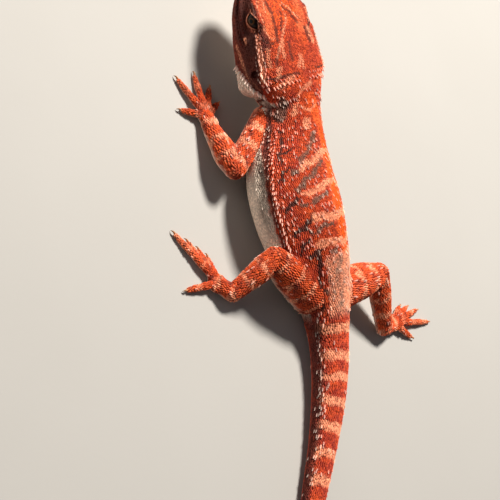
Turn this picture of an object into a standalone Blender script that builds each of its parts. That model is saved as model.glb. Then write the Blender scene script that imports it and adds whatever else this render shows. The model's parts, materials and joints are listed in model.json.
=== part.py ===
"""A half-grown red bearded dragon, life-size, as a still model resting on a floor.

Metres, +Z up. The animal heads along +Y and its left side is at -X. The origin is on the floor,
under the middle of the belly. Sizes below are in millimetres and become metres through MM.
"""

import math

import bmesh
import bpy
import numpy as np
from mathutils import Matrix, Vector

MM = 0.001

# Driving dimensions of the animal
EYE_RADIUS = 4.4
JOINT_GAP = 0.3  # between faces that meet
CUTTER_REACH = 60.0  # half size of the boxes that part two pieces

# Where the head is carried: the point between the jowls on the mouth's level, and its aim
JOWL_POINT = (-15.6, 54.0, 24.5)
JOWL_FROM_SNOUT = 50.0
HEAD_YAW = 17.5  # degrees to the animal's left
HEAD_PITCH = 3.0  # degrees up

# Head sections: distance from the snout, half width at the mouth line, height above it, depth
# below it, how square the upper and the lower half are (2 is an ellipse), and the lean in
# degrees, where less than 0 turns the crown to the left
HEAD_SECTIONS = {
    "snout": (0.0, 1.6, 1.8, 1.3, 2.0, 2.0, -9.0),
    "nose": (1.4, 6.2, 5.4, 3.8, 2.2, 2.0, -9.0),
    "nostril": (4.8, 9.9, 8.0, 5.4, 2.3, 2.0, -9.0),
    "muzzle": (9.6, 13.6, 10.0, 6.8, 2.6, 2.0, -9.0),
    "eye_front": (15.4, 17.0, 12.4, 8.2, 3.0, 2.0, -9.0),
    "eye": (22.5, 19.3, 14.4, 10.0, 3.1, 2.0, -9.0),
    "eye_back": (29.0, 20.8, 15.2, 11.8, 3.0, 2.1, -9.0),
    "temple": (36.0, 21.4, 15.4, 13.4, 2.7, 2.2, -8.0),
    "cheek": (43.0, 22.0, 15.0, 14.6, 2.5, 2.2, -7.0),
    "jowl": (50.0, 22.0, 14.4, 14.8, 2.4, 2.2, -5.0),
    "nape": (56.0, 18.8, 13.6, 13.6, 2.2, 2.1, -3.0),
}

# Body sections: centre x, y and z on the widest level, half width, height above, depth below,
# squareness above and below, and the lean (above 0 the left flank is up). The belly and the
# tail reach the floor.
BODY_SECTIONS = {
    "neck": (-12.2, 41.5, 22.8, 16.0, 13.6, 12.6, 2.0, 2.1, 0.0),
    "withers": (-11.5, 35.0, 21.2, 16.4, 14.2, 13.0, 2.0, 2.1, 3.0),
    "shoulder": (-11.2, 27.0, 19.5, 18.6, 15.6, 14.6, 1.9, 2.2, 7.0),
    "armpit": (-11.2, 17.0, 17.8, 22.6, 17.6, 16.2, 1.85, 2.3, 10.0),
    "ribs": (-11.2, 6.0, 16.6, 26.4, 19.4, 16.8, 1.8, 2.4, 12.0),
    "belly": (-8.8, -8.0, 16.0, 27.6, 20.0, 16.6, 1.8, 2.4, 12.0),
    "flank": (-5.2, -21.0, 15.2, 25.0, 19.2, 15.8, 1.8, 2.4, 11.0),
    "waist": (-0.6, -33.0, 14.2, 19.8, 16.8, 14.6, 1.9, 2.3, 8.0),
    "hips": (3.4, -44.0, 12.8, 15.8, 13.8, 13.0, 2.0, 2.2, 5.0),
    "vent": (6.0, -55.0, 10.9, 12.4, 11.4, 11.2, 2.1, 2.1, 2.0),
    "tail_base": (7.2, -65.0, 9.7, 10.2, 10.0, 10.0, 2.1, 2.1, 0.0),
    "tail_a": (6.4, -82.0, 8.7, 8.9, 8.7, 9.0, 2.1, 2.1, 0.0),
    "tail_b": (2.2, -101.0, 7.8, 7.8, 7.6, 8.1, 2.1, 2.1, 0.0),
    "tail_c": (-4.0, -120.0, 6.8, 6.7, 6.5, 7.1, 2.0, 2.0, 0.0),
    "tail_d": (-11.6, -139.0, 5.9, 5.8, 5.6, 6.2, 2.0, 2.0, 0.0),
    "tail_e": (-18.8, -159.0, 4.9, 4.8, 4.6, 5.2, 2.0, 2.0, 0.0),
    "tail_f": (-25.2, -181.0, 4.0, 3.9, 3.7, 4.3, 2.0, 2.0, 0.0),
    "tail_g": (-28.8, -206.0, 3.2, 3.1, 2.9, 3.5, 2.0, 2.0, 0.0),
    "tail_h": (-28.0, -231.0, 2.5, 2.3, 2.2, 2.8, 2.0, 2.0, 0.0),
    "tail_i": (-23.4, -253.0, 1.8, 1.5, 1.5, 2.1, 2.0, 2.0, 0.0),
    "tail_tip": (-17.6, -268.0, 1.1, 0.7, 0.7, 1.3, 2.0, 2.0, 0.0),
}

# Named lengths of the spine: first station, last station, rings, points around a ring
SPINE_NODES = {
    "neck": ("nape", "shoulder", 6, 26),
    "torso": ("shoulder", "waist", 15, 28),
    "hips": ("waist", "tail_base", 8, 22),
    "tail_1": ("tail_base", "tail_b", 8, 20),
    "tail_2": ("tail_b", "tail_d", 7, 18),
    "tail_3": ("tail_d", "tail_f", 7, 14),
    "tail_4": ("tail_f", "tail_tip", 10, 10),
}
HEAD_RINGS = 26
HEAD_TURNS = (0, 18, 29, 37, 45, 53, 60, 65, 68, 71, 74, 77, 81, 88, 97, 108, 122, 139, 160, 180)

# Limbs: the joints, and radii at the root, at the middle of the first length, at its far joint,
# at the muscle of the second length and at its end
ARM_RADII = (7.2, 5.8, 5.2, 6.2, 4.2)
LEG_RADII = (10.6, 8.8, 5.9, 5.8, 4.2)
HAND_DIGITS = (12.6, 16.0, 20.4, 21.6, 13.4)  # from the palm's middle to each digit's tip
FOOT_DIGITS = (12.4, 17.0, 23.0, 30.0, 16.8)
LIMBS = {
    "left_arm": {
        "names": ("left_upper_arm", "left_forearm", "left_hand"),
        "joints": ((-22.0, 37.0, 17.5), (-43.0, 10.5, 13.0), (-47.4, 31.0, 5.2)),
        "radii": ARM_RADII,
        "digits": HAND_DIGITS,
        "palm": (-47.8, 37.8),
        "headings": (-50.0, -20.0, 8.0, 38.0, 80.0),
    },
    "right_arm": {
        "names": ("right_upper_arm", "right_forearm", "right_hand"),
        "joints": ((-6.0, 28.0, 15.0), (15.0, 21.5, 10.0), (16.5, 43.0, 5.2)),
        "radii": ARM_RADII,
        "digits": HAND_DIGITS,
        "palm": (17.5, 49.8),
        "headings": (54.0, 28.0, 4.0, -22.0, -56.0),
    },
    "left_leg": {
        "names": ("left_thigh", "left_shin", "left_foot"),
        "joints": ((-2.0, -49.0, 12.5), (-31.0, -32.5, 19.5), (-46.5, -46.0, 5.4)),
        "radii": LEG_RADII,
        "digits": FOOT_DIGITS,
        "palm": (-52.8, -41.0),
        "headings": (13.0, 26.0, 35.0, 42.0, 100.0),
    },
    "right_leg": {
        "names": ("right_thigh", "right_shin", "right_foot"),
        "joints": ((12.0, -46.0, 12.5), (38.0, -38.5, 19.0), (52.5, -63.5, 5.4)),
        "radii": LEG_RADII,
        "digits": FOOT_DIGITS,
        "palm": (62.5, -60.5),
        "headings": (-46.0, -60.0, -73.0, -89.0, -116.0),
    },
}
CLAW_LENGTH = 2.6
CLAW_RADIUS = 0.62
CLAW_CURVE = ((0.0, 0.25, 1.0), (0.4, 0.45, 0.85), (0.75, 0.05, 0.5), (1.0, -0.7, 0.15))
PALM_RADII = (5.4, 4.9, 2.9)
PALM_HEIGHT = 3.0
DIGIT_RADIUS = 1.55
# Along a digit from the palm: share of its length, height of its middle, share of its radius
DIGIT_CURVE = (
    (0.0, 2.6, 1.15),
    (0.3, 2.9, 1.05),
    (0.42, 2.7, 1.16),
    (0.58, 2.2, 0.94),
    (0.70, 1.9, 1.04),
    (0.86, 1.4, 0.86),
    (1.0, 1.2, 0.70),
)

# Head furniture, in millimetres from the snout and degrees from the crown
EYE_AT = {"along": 22.5, "side": 12.5, "up": 8.9}
EYE_OPENING = (3.5, 2.6, 4.4)  # half length, half height, half depth
LID_THICKNESS = 1.0
EAR_AT = (45.6, 69.0)
EAR_RADII = (2.1, 1.9, 3.0)  # along the head, into it, up it
NOSTRIL_AT = (4.8, 50.0)
NOSTRIL_RADIUS = 0.8
MOUTH_TURN = 75.0
MOUTH_RISE = 4.0
MOUTH_RISES_FROM = 20.0
MOUTH_END = 32.0
MOUTH_DEPTH = 0.9
LIP_RISE = 0.6
LIP_TURN = 6.0

# Swells and hollows of the skin: height, middle and reach along in millimetres, then middle and
# reach around in degrees from the crown
RELIEF = {
    "brow": (1.9, 21.5, 8.5, 38.0, 9.0),
    "snout_ridge": (0.9, 11.0, 5.5, 42.0, 10.0),
    "socket": (-3.0, 22.5, 6.5, 57.0, 10.0),
    "cheek": (0.9, 41.0, 7.0, 104.0, 18.0),
    "jowl": (2.2, 50.5, 5.0, 112.0, 22.0),
    "temple_hollow": (-0.9, 37.0, 8.0, 66.0, 11.0),
    "crown_crease": (-0.5, 19.0, 9.0, 0.0, 16.0),
    "flank_hollow": (-1.3, 112.0, 24.0, 84.0, 9.0),
}

# Rows of spines: how many, from and to (millimetres along, degrees from the crown), lengths at
# the two ends, base radius, and how far each leans back (0 stands out, 1 lies back)
HEAD_SPINES = {
    "jaw": (6, (33.0, 121.0), (43.0, 124.0), 1.4, 2.8, 0.70, 0.60),
    "beard": (9, (43.5, 118.0), (54.0, 80.0), 3.0, 3.4, 0.92, 0.30),
    "beard_front": (6, (40.5, 144.0), (49.4, 106.0), 2.2, 3.0, 0.75, 0.45),
    "throat": (3, (46.0, 154.0), (46.0, 175.0), 2.4, 2.0, 0.70, 0.70),
    "skull_rim": (5, (53.4, 66.0), (53.8, 10.0), 2.6, 1.6, 0.80, 0.35),
    "temple": (8, (29.0, 51.0), (50.0, 59.0), 1.3, 2.4, 0.65, 0.50),
}
NECK_SPINES = {
    "neck_low": (3, (59.0, 108.0), (60.0, 96.0), 2.6, 2.2, 0.70, 0.50),
    "neck_side": (5, (59.0, 82.0), (70.0, 58.0), 2.6, 1.8, 0.70, 0.50),
    "neck_top": (4, (60.5, 34.0), (61.5, 60.0), 1.6, 2.0, 0.65, 0.50),
}
TORSO_SPINES = {
    "fringe": (20, (84.0, 68.0), (127.0, 73.0), 1.9, 2.7, 0.75, 0.45),
    "back_inner": (9, (84.0, 17.0), (136.0, 20.0), 0.9, 0.9, 0.75, 0.60),
    "back_outer": (8, (86.0, 40.0), (134.0, 42.0), 1.0, 1.0, 0.75, 0.60),
}
TAIL_SPINES = {
    "tail_side": (8, (176.0, 74.0), (206.0, 74.0), 1.3, 0.9, 0.65, 0.70),
}
SPINE_SIDES = 4
SPINE_SINK = 0.5  # of its base radius, how far a spine's root is sunk

RED = (0.72, 0.115, 0.035)
COLOURS = {
    "head": (0.74, 0.12, 0.035),
    "neck": (0.73, 0.12, 0.04),
    "torso": RED,
    "hips": (0.70, 0.16, 0.08),
    "tail": (0.62, 0.10, 0.06),
    "limb": (0.75, 0.16, 0.05),
    "eye": (0.020, 0.011, 0.008),
    "claw": (0.50, 0.25, 0.12),
}


def rotate_about(axis, degrees, vector):
    return Matrix.Rotation(math.radians(degrees), 3, axis) @ vector


def spine_stations():
    """Every section of head, body and tail as rows of numbers, and their names."""
    back = rotate_about("Z", HEAD_YAW, rotate_about("X", HEAD_PITCH, Vector((0, -1, 0))))
    snout = Vector(JOWL_POINT) - back * JOWL_FROM_SNOUT
    rows = {}
    for name, (along, *shape) in HEAD_SECTIONS.items():
        rows[name] = (*(snout + back * along), *shape)
    rows.update(BODY_SECTIONS)
    return list(rows), np.array(list(rows.values()), float)


def through(knots, rows, at):
    """Smooth rows at the distances in at, through the given rows at their knots."""
    slopes = np.gradient(rows, knots, axis=0)
    i = np.clip(np.searchsorted(knots, at, side="right") - 1, 0, len(knots) - 2)
    span = (knots[i + 1] - knots[i])[:, None]
    t = (at - knots[i])[:, None] / span
    rise = rows[i + 1] - rows[i]
    bend = (3 - 2 * t) * t**2 * rise
    start = t * (1 - t) ** 2 * span * slopes[i]
    end = t**2 * (t - 1) * span * slopes[i + 1]
    return rows[i] + bend + start + end


def bump(value, middle, width):
    return np.exp(-(((value - middle) / width) ** 2))


def mouth_turn(along):
    """Degrees from the crown to the mouth line, which rises towards its corner."""
    rise = np.clip((along - MOUTH_RISES_FROM) / (MOUTH_END - MOUTH_RISES_FROM), 0.0, 1.0)
    return MOUTH_TURN - MOUTH_RISE * rise**2


def relief(along, turn):
    """How far the surface stands out from its plain section, in millimetres."""
    degrees = np.abs(np.degrees((turn + math.pi) % (2 * math.pi) - math.pi))
    height = 0.0
    for rise, middle, length, middle_turn, width in RELIEF.values():
        height = height + rise * bump(along, middle, length) * bump(degrees, middle_turn, width)
    from_mouth = degrees - mouth_turn(along)
    mouth = np.clip((MOUTH_END - along) / 3.0, 0.0, 1.0) * np.clip(along / 1.5, 0.0, 1.0)
    lips = LIP_RISE * (bump(from_mouth, -LIP_TURN, 4.0) + bump(from_mouth, LIP_TURN, 4.0))
    groove = -MOUTH_DEPTH * bump(from_mouth, 0.0, 2.4)
    return height + mouth * (lips + groove)


class Loft:
    """Sections along a line, each a rounded shape with its own upper and lower half."""

    def __init__(self, rows, relief=None):
        self.rows = np.array(rows, float)
        steps = np.linalg.norm(np.diff(self.rows[:, :3], axis=0), axis=1)
        self.knots = np.concatenate([[0.0], np.cumsum(steps)])
        self.relief = relief

    def length(self):
        return self.knots[-1]

    def axes(self, along):
        """Centres, and unit vectors along the loft, to its left and up, at each distance."""
        step = 0.5
        centre = through(self.knots, self.rows[:, :3], along)
        ahead = through(self.knots, self.rows[:, :3], np.minimum(along + step, self.length()))
        behind = through(self.knots, self.rows[:, :3], np.maximum(along - step, 0.0))
        onward = ahead - behind
        onward /= np.linalg.norm(onward, axis=1)[:, None]
        left = np.cross(onward, (0.0, 0.0, 1.0))
        left /= np.linalg.norm(left, axis=1)[:, None]
        up = np.cross(left, onward)
        lean = np.radians(through(self.knots, self.rows[:, 8:9], along))
        leant_left = left * np.cos(lean) + up * np.sin(lean)
        leant_up = up * np.cos(lean) - left * np.sin(lean)
        return centre, onward, leant_left, leant_up

    def points(self, along, turn, grow=0.0):
        """Points on the surface; turn is in radians from the top, growing to the left."""
        along, turn = np.broadcast_arrays(np.asarray(along, float), np.asarray(turn, float))
        shape, along, turn = along.shape, along.ravel(), turn.ravel()
        centre, _, left, up = self.axes(along)
        size = through(self.knots, self.rows[:, 3:8], along)
        half, above, below, square_top, square_low = size.T
        sine, cosine = np.sin(turn), np.cos(turn)
        square = np.where(cosine >= 0, square_top, square_low)
        reach = (np.abs(sine) ** square + np.abs(cosine) ** square) ** (-1 / square)
        out = grow + (self.relief(along, turn) if self.relief else 0.0)
        sideways = (half * reach + out) * sine
        upward = (np.where(cosine >= 0, above, below) * reach + out) * cosine
        found = centre + left * sideways[:, None] + up * upward[:, None]
        return found.reshape(*shape, 3)

    def point(self, along, degrees, grow=0.0):
        return Vector(self.points(along, math.radians(degrees), grow))

    def outward(self, along, degrees):
        """The surface's normal."""
        near = 0.4
        ahead = self.point(along + near, degrees) - self.point(along - near, degrees)
        around = self.point(along, degrees + 3) - self.point(along, degrees - 3)
        normal = ahead.cross(around).normalized()
        middle = Vector(self.axes(np.array([along]))[0][0])
        away = self.point(along, degrees) - middle
        return normal if normal.dot(away) > 0 else -normal

    def onward(self, along):
        return Vector(self.axes(np.array([along]))[1][0])

    def mesh(self, start, end, rings, around, grow=0.0):
        """A closed piece with flat ends; around is a count of points, or their turns."""
        along = np.linspace(start, end, rings)
        if grow:
            along = np.concatenate([[start - grow], along, [end + grow]])
        turn = around
        if isinstance(around, int):
            turn = np.linspace(0, 2 * math.pi, around, endpoint=False)
        count = len(turn)
        grid = self.points(along[:, None], turn[None, :], grow) * MM
        shape = bmesh.new()
        verts = [[shape.verts.new(p) for p in ring] for ring in grid]
        for first, second in zip(verts, verts[1:]):
            for i in range(count):
                j = (i + 1) % count
                shape.faces.new((first[i], first[j], second[j], second[i]))
        shape.faces.new(verts[0])
        shape.faces.new(verts[-1])
        bmesh.ops.recalc_face_normals(shape, faces=shape.faces)
        return shape


def clear_scene():
    for thing in list(bpy.data.objects):
        bpy.data.objects.remove(thing)


def place(shape, name, collection):
    """Turns a bmesh into an object in a collection."""
    mesh = bpy.data.meshes.new(name)
    shape.to_mesh(mesh)
    shape.free()
    thing = bpy.data.objects.new(name, mesh)
    collection.objects.link(thing)
    return thing


def material(name, colour, roughness):
    made = bpy.data.materials.new(name)
    made.use_nodes = True
    shader = made.node_tree.nodes["Principled BSDF"]
    shader.inputs["Base Color"].default_value = (*colour, 1.0)
    shader.inputs["Roughness"].default_value = roughness
    shader.inputs["Metallic"].default_value = 0.0
    return made


def turned(direction, at):
    """A matrix that carries +Z to a direction, and the origin to a point in millimetres."""
    turn = Vector(direction).to_track_quat("Z", "Y").to_matrix().to_4x4()
    return Matrix.Translation(Vector(at) * MM) @ turn


def cone(root, direction, length, radius):
    """A spine whose base lies at root."""
    shape = bmesh.new()
    bmesh.ops.create_cone(
        shape,
        cap_ends=True,
        segments=SPINE_SIDES,
        radius1=radius * MM,
        radius2=0.0,
        depth=length * MM,
    )
    bmesh.ops.translate(shape, verts=shape.verts, vec=(0, 0, length * MM / 2))
    bmesh.ops.transform(shape, matrix=turned(direction, root), verts=shape.verts)
    return shape


def ellipsoid(centre, radii, axes, rings=6, sides=10):
    """A ball stretched along three unit vectors."""
    shape = bmesh.new()
    bmesh.ops.create_uvsphere(shape, u_segments=sides, v_segments=rings, radius=1.0)
    columns = [Vector(axis) * radius * MM for axis, radius in zip(axes, radii)]
    matrix = Matrix.Translation(Vector(centre) * MM) @ Matrix(columns).transposed().to_4x4()
    bmesh.ops.transform(shape, matrix=matrix, verts=shape.verts)
    bmesh.ops.recalc_face_normals(shape, faces=shape.faces)
    return shape


def half_space(point, direction):
    """A box that fills the side of a plane that the direction points to."""
    shape = bmesh.new()
    bmesh.ops.create_cube(shape, size=2 * CUTTER_REACH * MM)
    bmesh.ops.translate(shape, verts=shape.verts, vec=(0, 0, CUTTER_REACH * MM))
    bmesh.ops.transform(shape, matrix=turned(direction, point), verts=shape.verts)
    return shape


def below_floor():
    """A slab under the floor, which gives every resting piece its flat."""
    shape = bmesh.new()
    bmesh.ops.create_cube(shape, size=1.0)
    bmesh.ops.scale(shape, vec=(1.0, 1.0, 0.1), verts=shape.verts)
    bmesh.ops.translate(shape, verts=shape.verts, vec=(0, 0, -0.05))
    return shape


def combine(thing, shapes, operation):
    """Applies one Boolean between an object and several closed shapes."""
    if not shapes:
        return
    tools = bpy.data.collections.new("tools")
    bpy.context.scene.collection.children.link(tools)
    for number, shape in enumerate(shapes):
        place(shape, f"tool_{number}", tools)
    step = thing.modifiers.new("join", "BOOLEAN")
    step.operation = operation
    step.operand_type = "COLLECTION"
    step.collection = tools
    step.solver = "EXACT"
    bpy.context.view_layer.update()
    evaluated = thing.evaluated_get(bpy.context.evaluated_depsgraph_get())
    result = bpy.data.meshes.new_from_object(evaluated)
    thing.modifiers.clear()
    thing.data = result
    for tool in list(tools.objects):
        bpy.data.objects.remove(tool)
    bpy.data.collections.remove(tools)


def keep_largest(thing):
    """Leaves only the closed surface that encloses the most."""
    shape = bmesh.new()
    shape.from_mesh(thing.data)
    bmesh.ops.triangulate(shape, faces=shape.faces)
    bmesh.ops.dissolve_degenerate(shape, edges=shape.edges, dist=1e-7)
    left = set(shape.faces)
    islands = []
    while left:
        front = [left.pop()]
        island = set(front)
        while front:
            for edge in front.pop().edges:
                for face in edge.link_faces:
                    if face in left:
                        left.discard(face)
                        island.add(face)
                        front.append(face)
        islands.append(island)

    def enclosed(island):
        corners = [[vert.co for vert in face.verts[:3]] for face in island]
        return sum(a.dot(b.cross(c)) for a, b, c in corners)

    islands.sort(key=enclosed)
    for island in islands[:-1]:
        bmesh.ops.delete(shape, geom=list(island), context="FACES")
    shape.to_mesh(thing.data)
    shape.free()


def node(name, collection, look, base, added=(), removed=()):
    """One named solid: a base shape, what is fused to it, and what is cut from it."""
    thing = place(base, name, collection)
    combine(thing, added, "UNION")
    combine(thing, [*removed, below_floor()], "DIFFERENCE")
    keep_largest(thing)
    thing.data.shade_smooth()
    thing.data.set_sharp_from_angle(angle=math.radians(40))
    thing.data.materials.clear()
    thing.data.materials.append(look)
    return thing


def spine_row(loft, row, sides=(1, -1)):
    """A row of spines on both flanks of a loft, set evenly from the row's named sizes."""
    count, first, last, length_a, length_b, radius, lean = row
    spines = []
    for side in sides:
        for i in range(count):
            t = i / max(1, count - 1)
            along = first[0] + (last[0] - first[0]) * t
            degrees = side * (first[1] + (last[1] - first[1]) * t)
            length = length_a + (length_b - length_a) * t
            out = loft.outward(along, degrees) * (1 - lean)
            direction = (out + loft.onward(along) * lean).normalized()
            root = loft.point(along, degrees, -SPINE_SINK * radius - 0.25)
            spines.append(cone(root, direction, length + radius, radius))
    return spines


def all_rows(loft, rows):
    return [spine for row in rows.values() for spine in spine_row(loft, row)]


def eye_centre(loft, side):
    """The middle of an eyeball, from its named place on the head."""
    centre, _, left, up = (Vector(v[0]) for v in loft.axes(np.array([EYE_AT["along"]])))
    return centre + left * side * EYE_AT["side"] + up * EYE_AT["up"]


def head_node(loft, end, collection, look):
    """The head with its brows, lids, lips, ear cups, nostrils and rows of spines."""
    onward = loft.onward(EYE_AT["along"])
    added = all_rows(loft, HEAD_SPINES)
    removed = []
    for side in (1, -1):
        eye = eye_centre(loft, side)
        _, _, left, up = (Vector(v[0]) for v in loft.axes(np.array([EYE_AT["along"]])))
        axes = (onward, up, left)
        lid = EYE_RADIUS + LID_THICKNESS
        added.append(ellipsoid(eye, (lid, lid * 0.94, lid), axes, 9, 14))
        hollow = EYE_RADIUS + JOINT_GAP
        removed.append(ellipsoid(eye, (hollow,) * 3, axes, 9, 14))
        opening = eye + left * side * (EYE_RADIUS + 0.4)
        removed.append(ellipsoid(opening, EYE_OPENING, axes, 8, 12))
        ear_along, ear_turn = EAR_AT
        ear = loft.point(ear_along, side * ear_turn, 0.2)
        removed.append(ellipsoid(ear, EAR_RADII, (onward, left, up), 8, 10))
        nose_along, nose_turn = NOSTRIL_AT
        nostril = loft.point(nose_along, side * nose_turn, 0.0)
        out = loft.outward(nose_along, side * nose_turn)
        rim = NOSTRIL_RADIUS * 1.7
        added.append(ellipsoid(nostril - out * rim * 0.5, (rim,) * 3, (onward, left, up), 5, 8))
        removed.append(ellipsoid(nostril + out * 0.4, (NOSTRIL_RADIUS,) * 3, (onward, left, up), 5, 6))
    half_way = [d for d in HEAD_TURNS if 0 < d < 180]
    turns = np.radians([*HEAD_TURNS, *(360 - d for d in reversed(half_way))])
    base = loft.mesh(0.0, end - JOINT_GAP / 2, HEAD_RINGS, turns)
    return node("head", collection, look, base, added, removed)


def straight_loft(start, end, radii):
    """A limb's length: radii are spaced evenly from start to end."""
    shares = np.linspace(0, 1, len(radii))
    start, end = np.array(start), np.array(end)
    rows = []
    for share, radius in zip(shares, radii):
        rows.append((*(start + (end - start) * share), radius, radius, radius, 2.0, 2.0, 0.0))
    return Loft(rows)


def ball(centre, radius):
    return ellipsoid(centre, (radius,) * 3, ((1, 0, 0), (0, 1, 0), (0, 0, 1)))


def apart(point, direction):
    """The two cutters that part a limb in a plane, with the gap between them."""
    direction = Vector(direction).normalized()
    shift = direction * JOINT_GAP / 2
    before = half_space(Vector(point) - shift, direction)
    after = half_space(Vector(point) + shift, -direction)
    return before, after


def digit_loft(palm, heading, length):
    """A finger or toe from the palm's middle, over its knuckles, to its tip on the floor."""
    angle = math.radians(heading)
    way = np.array([-math.sin(angle), math.cos(angle)])
    rows = []
    for share, height, thick in DIGIT_CURVE:
        x, y = np.array(palm) + way * length * share
        radius = DIGIT_RADIUS * thick
        rows.append((x, y, height, radius, radius * 0.95, radius, 2.0, 2.0, 0.0))
    return Loft(rows)


def claw(loft, length, radius):
    """A curved nail that carries on from a digit's end, a gap away."""
    end = loft.length()
    tip = Vector(loft.axes(np.array([end]))[0][0])
    way = loft.onward(end)
    way = Vector((way.x, way.y, 0)).normalized()
    root = tip + way * JOINT_GAP
    rows = []
    for share, lift, thick in CLAW_CURVE:
        point = root + way * length * share + Vector((0, 0, lift))
        thickness = max(radius * thick, 0.12)
        rows.append((*point, thickness * 0.8, thickness, thickness, 2.0, 2.0, 0.0))
    nail = Loft(rows)
    return nail.mesh(0.0, nail.length(), 4, 5)


def limb_nodes(limb, walls, collection, looks):
    """The two lengths of a limb, its hand or foot with the digits, and the claws."""
    root, bend, end = (Vector(p) for p in limb["joints"])
    palm = limb["palm"]
    at_root, at_middle, at_bend, at_muscle, at_end = limb["radii"]
    first = straight_loft(root, bend, (at_root, (at_root + at_middle) / 2, at_middle, at_bend))
    second = straight_loft(bend, end, (at_bend, at_muscle, (at_muscle + at_end) / 2, at_end))
    sole = Vector((*palm, PALM_HEIGHT))
    upper_way = (bend - root).normalized()
    lower_way = (end - bend).normalized()
    hand_way = (sole - end).normalized()
    past_bend, before_bend = apart(bend, upper_way + lower_way)
    past_end, before_end = apart(end, lower_way + hand_way)
    upper_name, lower_name, hand_name = limb["names"]
    upper = node(
        upper_name,
        collection,
        looks["limb"],
        first.mesh(0.0, first.length(), 7, 12),
        [ball(bend, at_bend)],
        [*walls, past_bend],
    )
    lower = node(
        lower_name,
        collection,
        looks["limb"],
        second.mesh(0.0, second.length(), 6, 11),
        [ball(bend, at_bend), ball(end, at_end)],
        [before_bend, past_end],
    )
    digits = [digit_loft(palm, *sizes) for sizes in zip(limb["headings"], limb["digits"])]
    wrist = straight_loft(end, sole, (at_end, at_end * 0.95, at_end * 0.8))
    axes = (hand_way, hand_way.cross(Vector((0, 0, 1))), (0, 0, 1))
    pad = ellipsoid(sole, PALM_RADII, axes)
    shapes = [d.mesh(0.0, d.length(), 7, 5) for d in digits]
    shapes += [wrist.mesh(0.0, wrist.length(), 3, 9), ball(end, at_end)]
    node(hand_name, collection, looks["limb"], pad, shapes, [before_end])
    for number, digit in enumerate(digits, 1):
        nail = claw(digit, CLAW_LENGTH, CLAW_RADIUS)
        node(f"{hand_name}_claw_{number}", collection, looks["claw"], nail)
    return upper, lower


def main():
    clear_scene()
    animal = bpy.data.collections.new("bearded_dragon")
    bpy.context.scene.collection.children.link(animal)
    looks = {name: material(name, colour, 0.6) for name, colour in COLOURS.items()}
    looks["eye"].node_tree.nodes["Principled BSDF"].inputs["Roughness"].default_value = 0.1

    names, rows = spine_stations()
    body = Loft(rows, relief)
    at = dict(zip(names, body.knots))
    head_node(body, at["nape"], animal, looks["head"])
    for side, name in ((1, "left_eye"), (-1, "right_eye")):
        eye = ellipsoid(
            eye_centre(body, side), (EYE_RADIUS,) * 3, ((1, 0, 0), (0, 1, 0), (0, 0, 1)), 9, 14
        )
        node(name, animal, looks["eye"], eye)
    spines = {"neck": NECK_SPINES, "torso": TORSO_SPINES, "tail_1": TAIL_SPINES}
    for name, (first, last, rings, count) in SPINE_NODES.items():
        start = at[first] + JOINT_GAP / 2
        end = at[last] - (JOINT_GAP / 2 if last != "tail_tip" else 0.0)
        look = looks["tail" if name.startswith("tail") else name]
        shape = body.mesh(start, end, rings, count)
        node(name, animal, look, shape, all_rows(body, spines.get(name, {})))
    for limb in LIMBS.values():
        # The walls are the trunk, grown by the gap, so that each limb meets it face to face
        walls = []
        for first, last, rings, count in SPINE_NODES.values():
            start = at[first] + JOINT_GAP / 2
            end = at[last] - JOINT_GAP / 2
            walls.append(body.mesh(start, end, rings, count, JOINT_GAP * 1.2))
        limb_nodes(limb, walls[:4], animal, looks)


main()
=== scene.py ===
"""A half-grown red bearded dragon as a life-size still model on a pale floor.

Sizes are in millimetres and become metres through MM. +Y runs towards the head and +Z up, so the
animal's left side is at -X. One skin covers the animal. Scales and spines stand on it as mesh.
"""

import json
import math

import bpy
import numpy as np
from mathutils import Matrix, Vector
from mathutils.bvhtree import BVHTree
from mathutils.kdtree import KDTree

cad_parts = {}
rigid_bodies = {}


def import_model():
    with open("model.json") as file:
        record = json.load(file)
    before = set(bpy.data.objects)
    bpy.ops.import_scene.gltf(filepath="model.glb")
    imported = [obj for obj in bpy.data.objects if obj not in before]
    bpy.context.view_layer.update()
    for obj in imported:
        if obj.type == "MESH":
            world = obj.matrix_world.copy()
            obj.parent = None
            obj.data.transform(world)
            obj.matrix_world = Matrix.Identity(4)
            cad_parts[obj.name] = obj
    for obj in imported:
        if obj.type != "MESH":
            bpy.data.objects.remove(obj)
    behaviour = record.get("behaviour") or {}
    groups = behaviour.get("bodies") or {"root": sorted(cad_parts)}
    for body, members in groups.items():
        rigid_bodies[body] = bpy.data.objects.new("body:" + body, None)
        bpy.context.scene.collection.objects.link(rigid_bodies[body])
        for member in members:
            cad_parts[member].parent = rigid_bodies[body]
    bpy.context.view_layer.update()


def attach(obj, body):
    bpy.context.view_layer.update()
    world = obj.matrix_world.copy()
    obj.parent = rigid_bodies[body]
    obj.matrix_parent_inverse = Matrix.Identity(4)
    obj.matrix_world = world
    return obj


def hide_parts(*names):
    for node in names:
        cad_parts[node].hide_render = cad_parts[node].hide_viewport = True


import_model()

MM = 0.001
COAT = 0.45  # how deep the skin lies under the coat's surface
FLOOR_ROOM = 0.25  # the lowest skin above the floor
SCALE_FLOOR = 0.03  # the lowest point of a scale
CLAW_FLOOR = 0.02  # the lowest point of a claw
SIDES = (1, -1)  # left and right
rng = np.random.default_rng(11)

# The camera: height and bearing in degrees, the picture's roll, and the pixel that shows the
# origin in a picture of 500 x 500
CAMERA = {"height": 47.0, "bearing": 10.0, "roll": 7.0, "lens": 85.0, "distance": 576.0}
ORIGIN_PIXEL = (286.0, 203.0)
PICTURE = 500.0
SENSOR = 36.0

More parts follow.
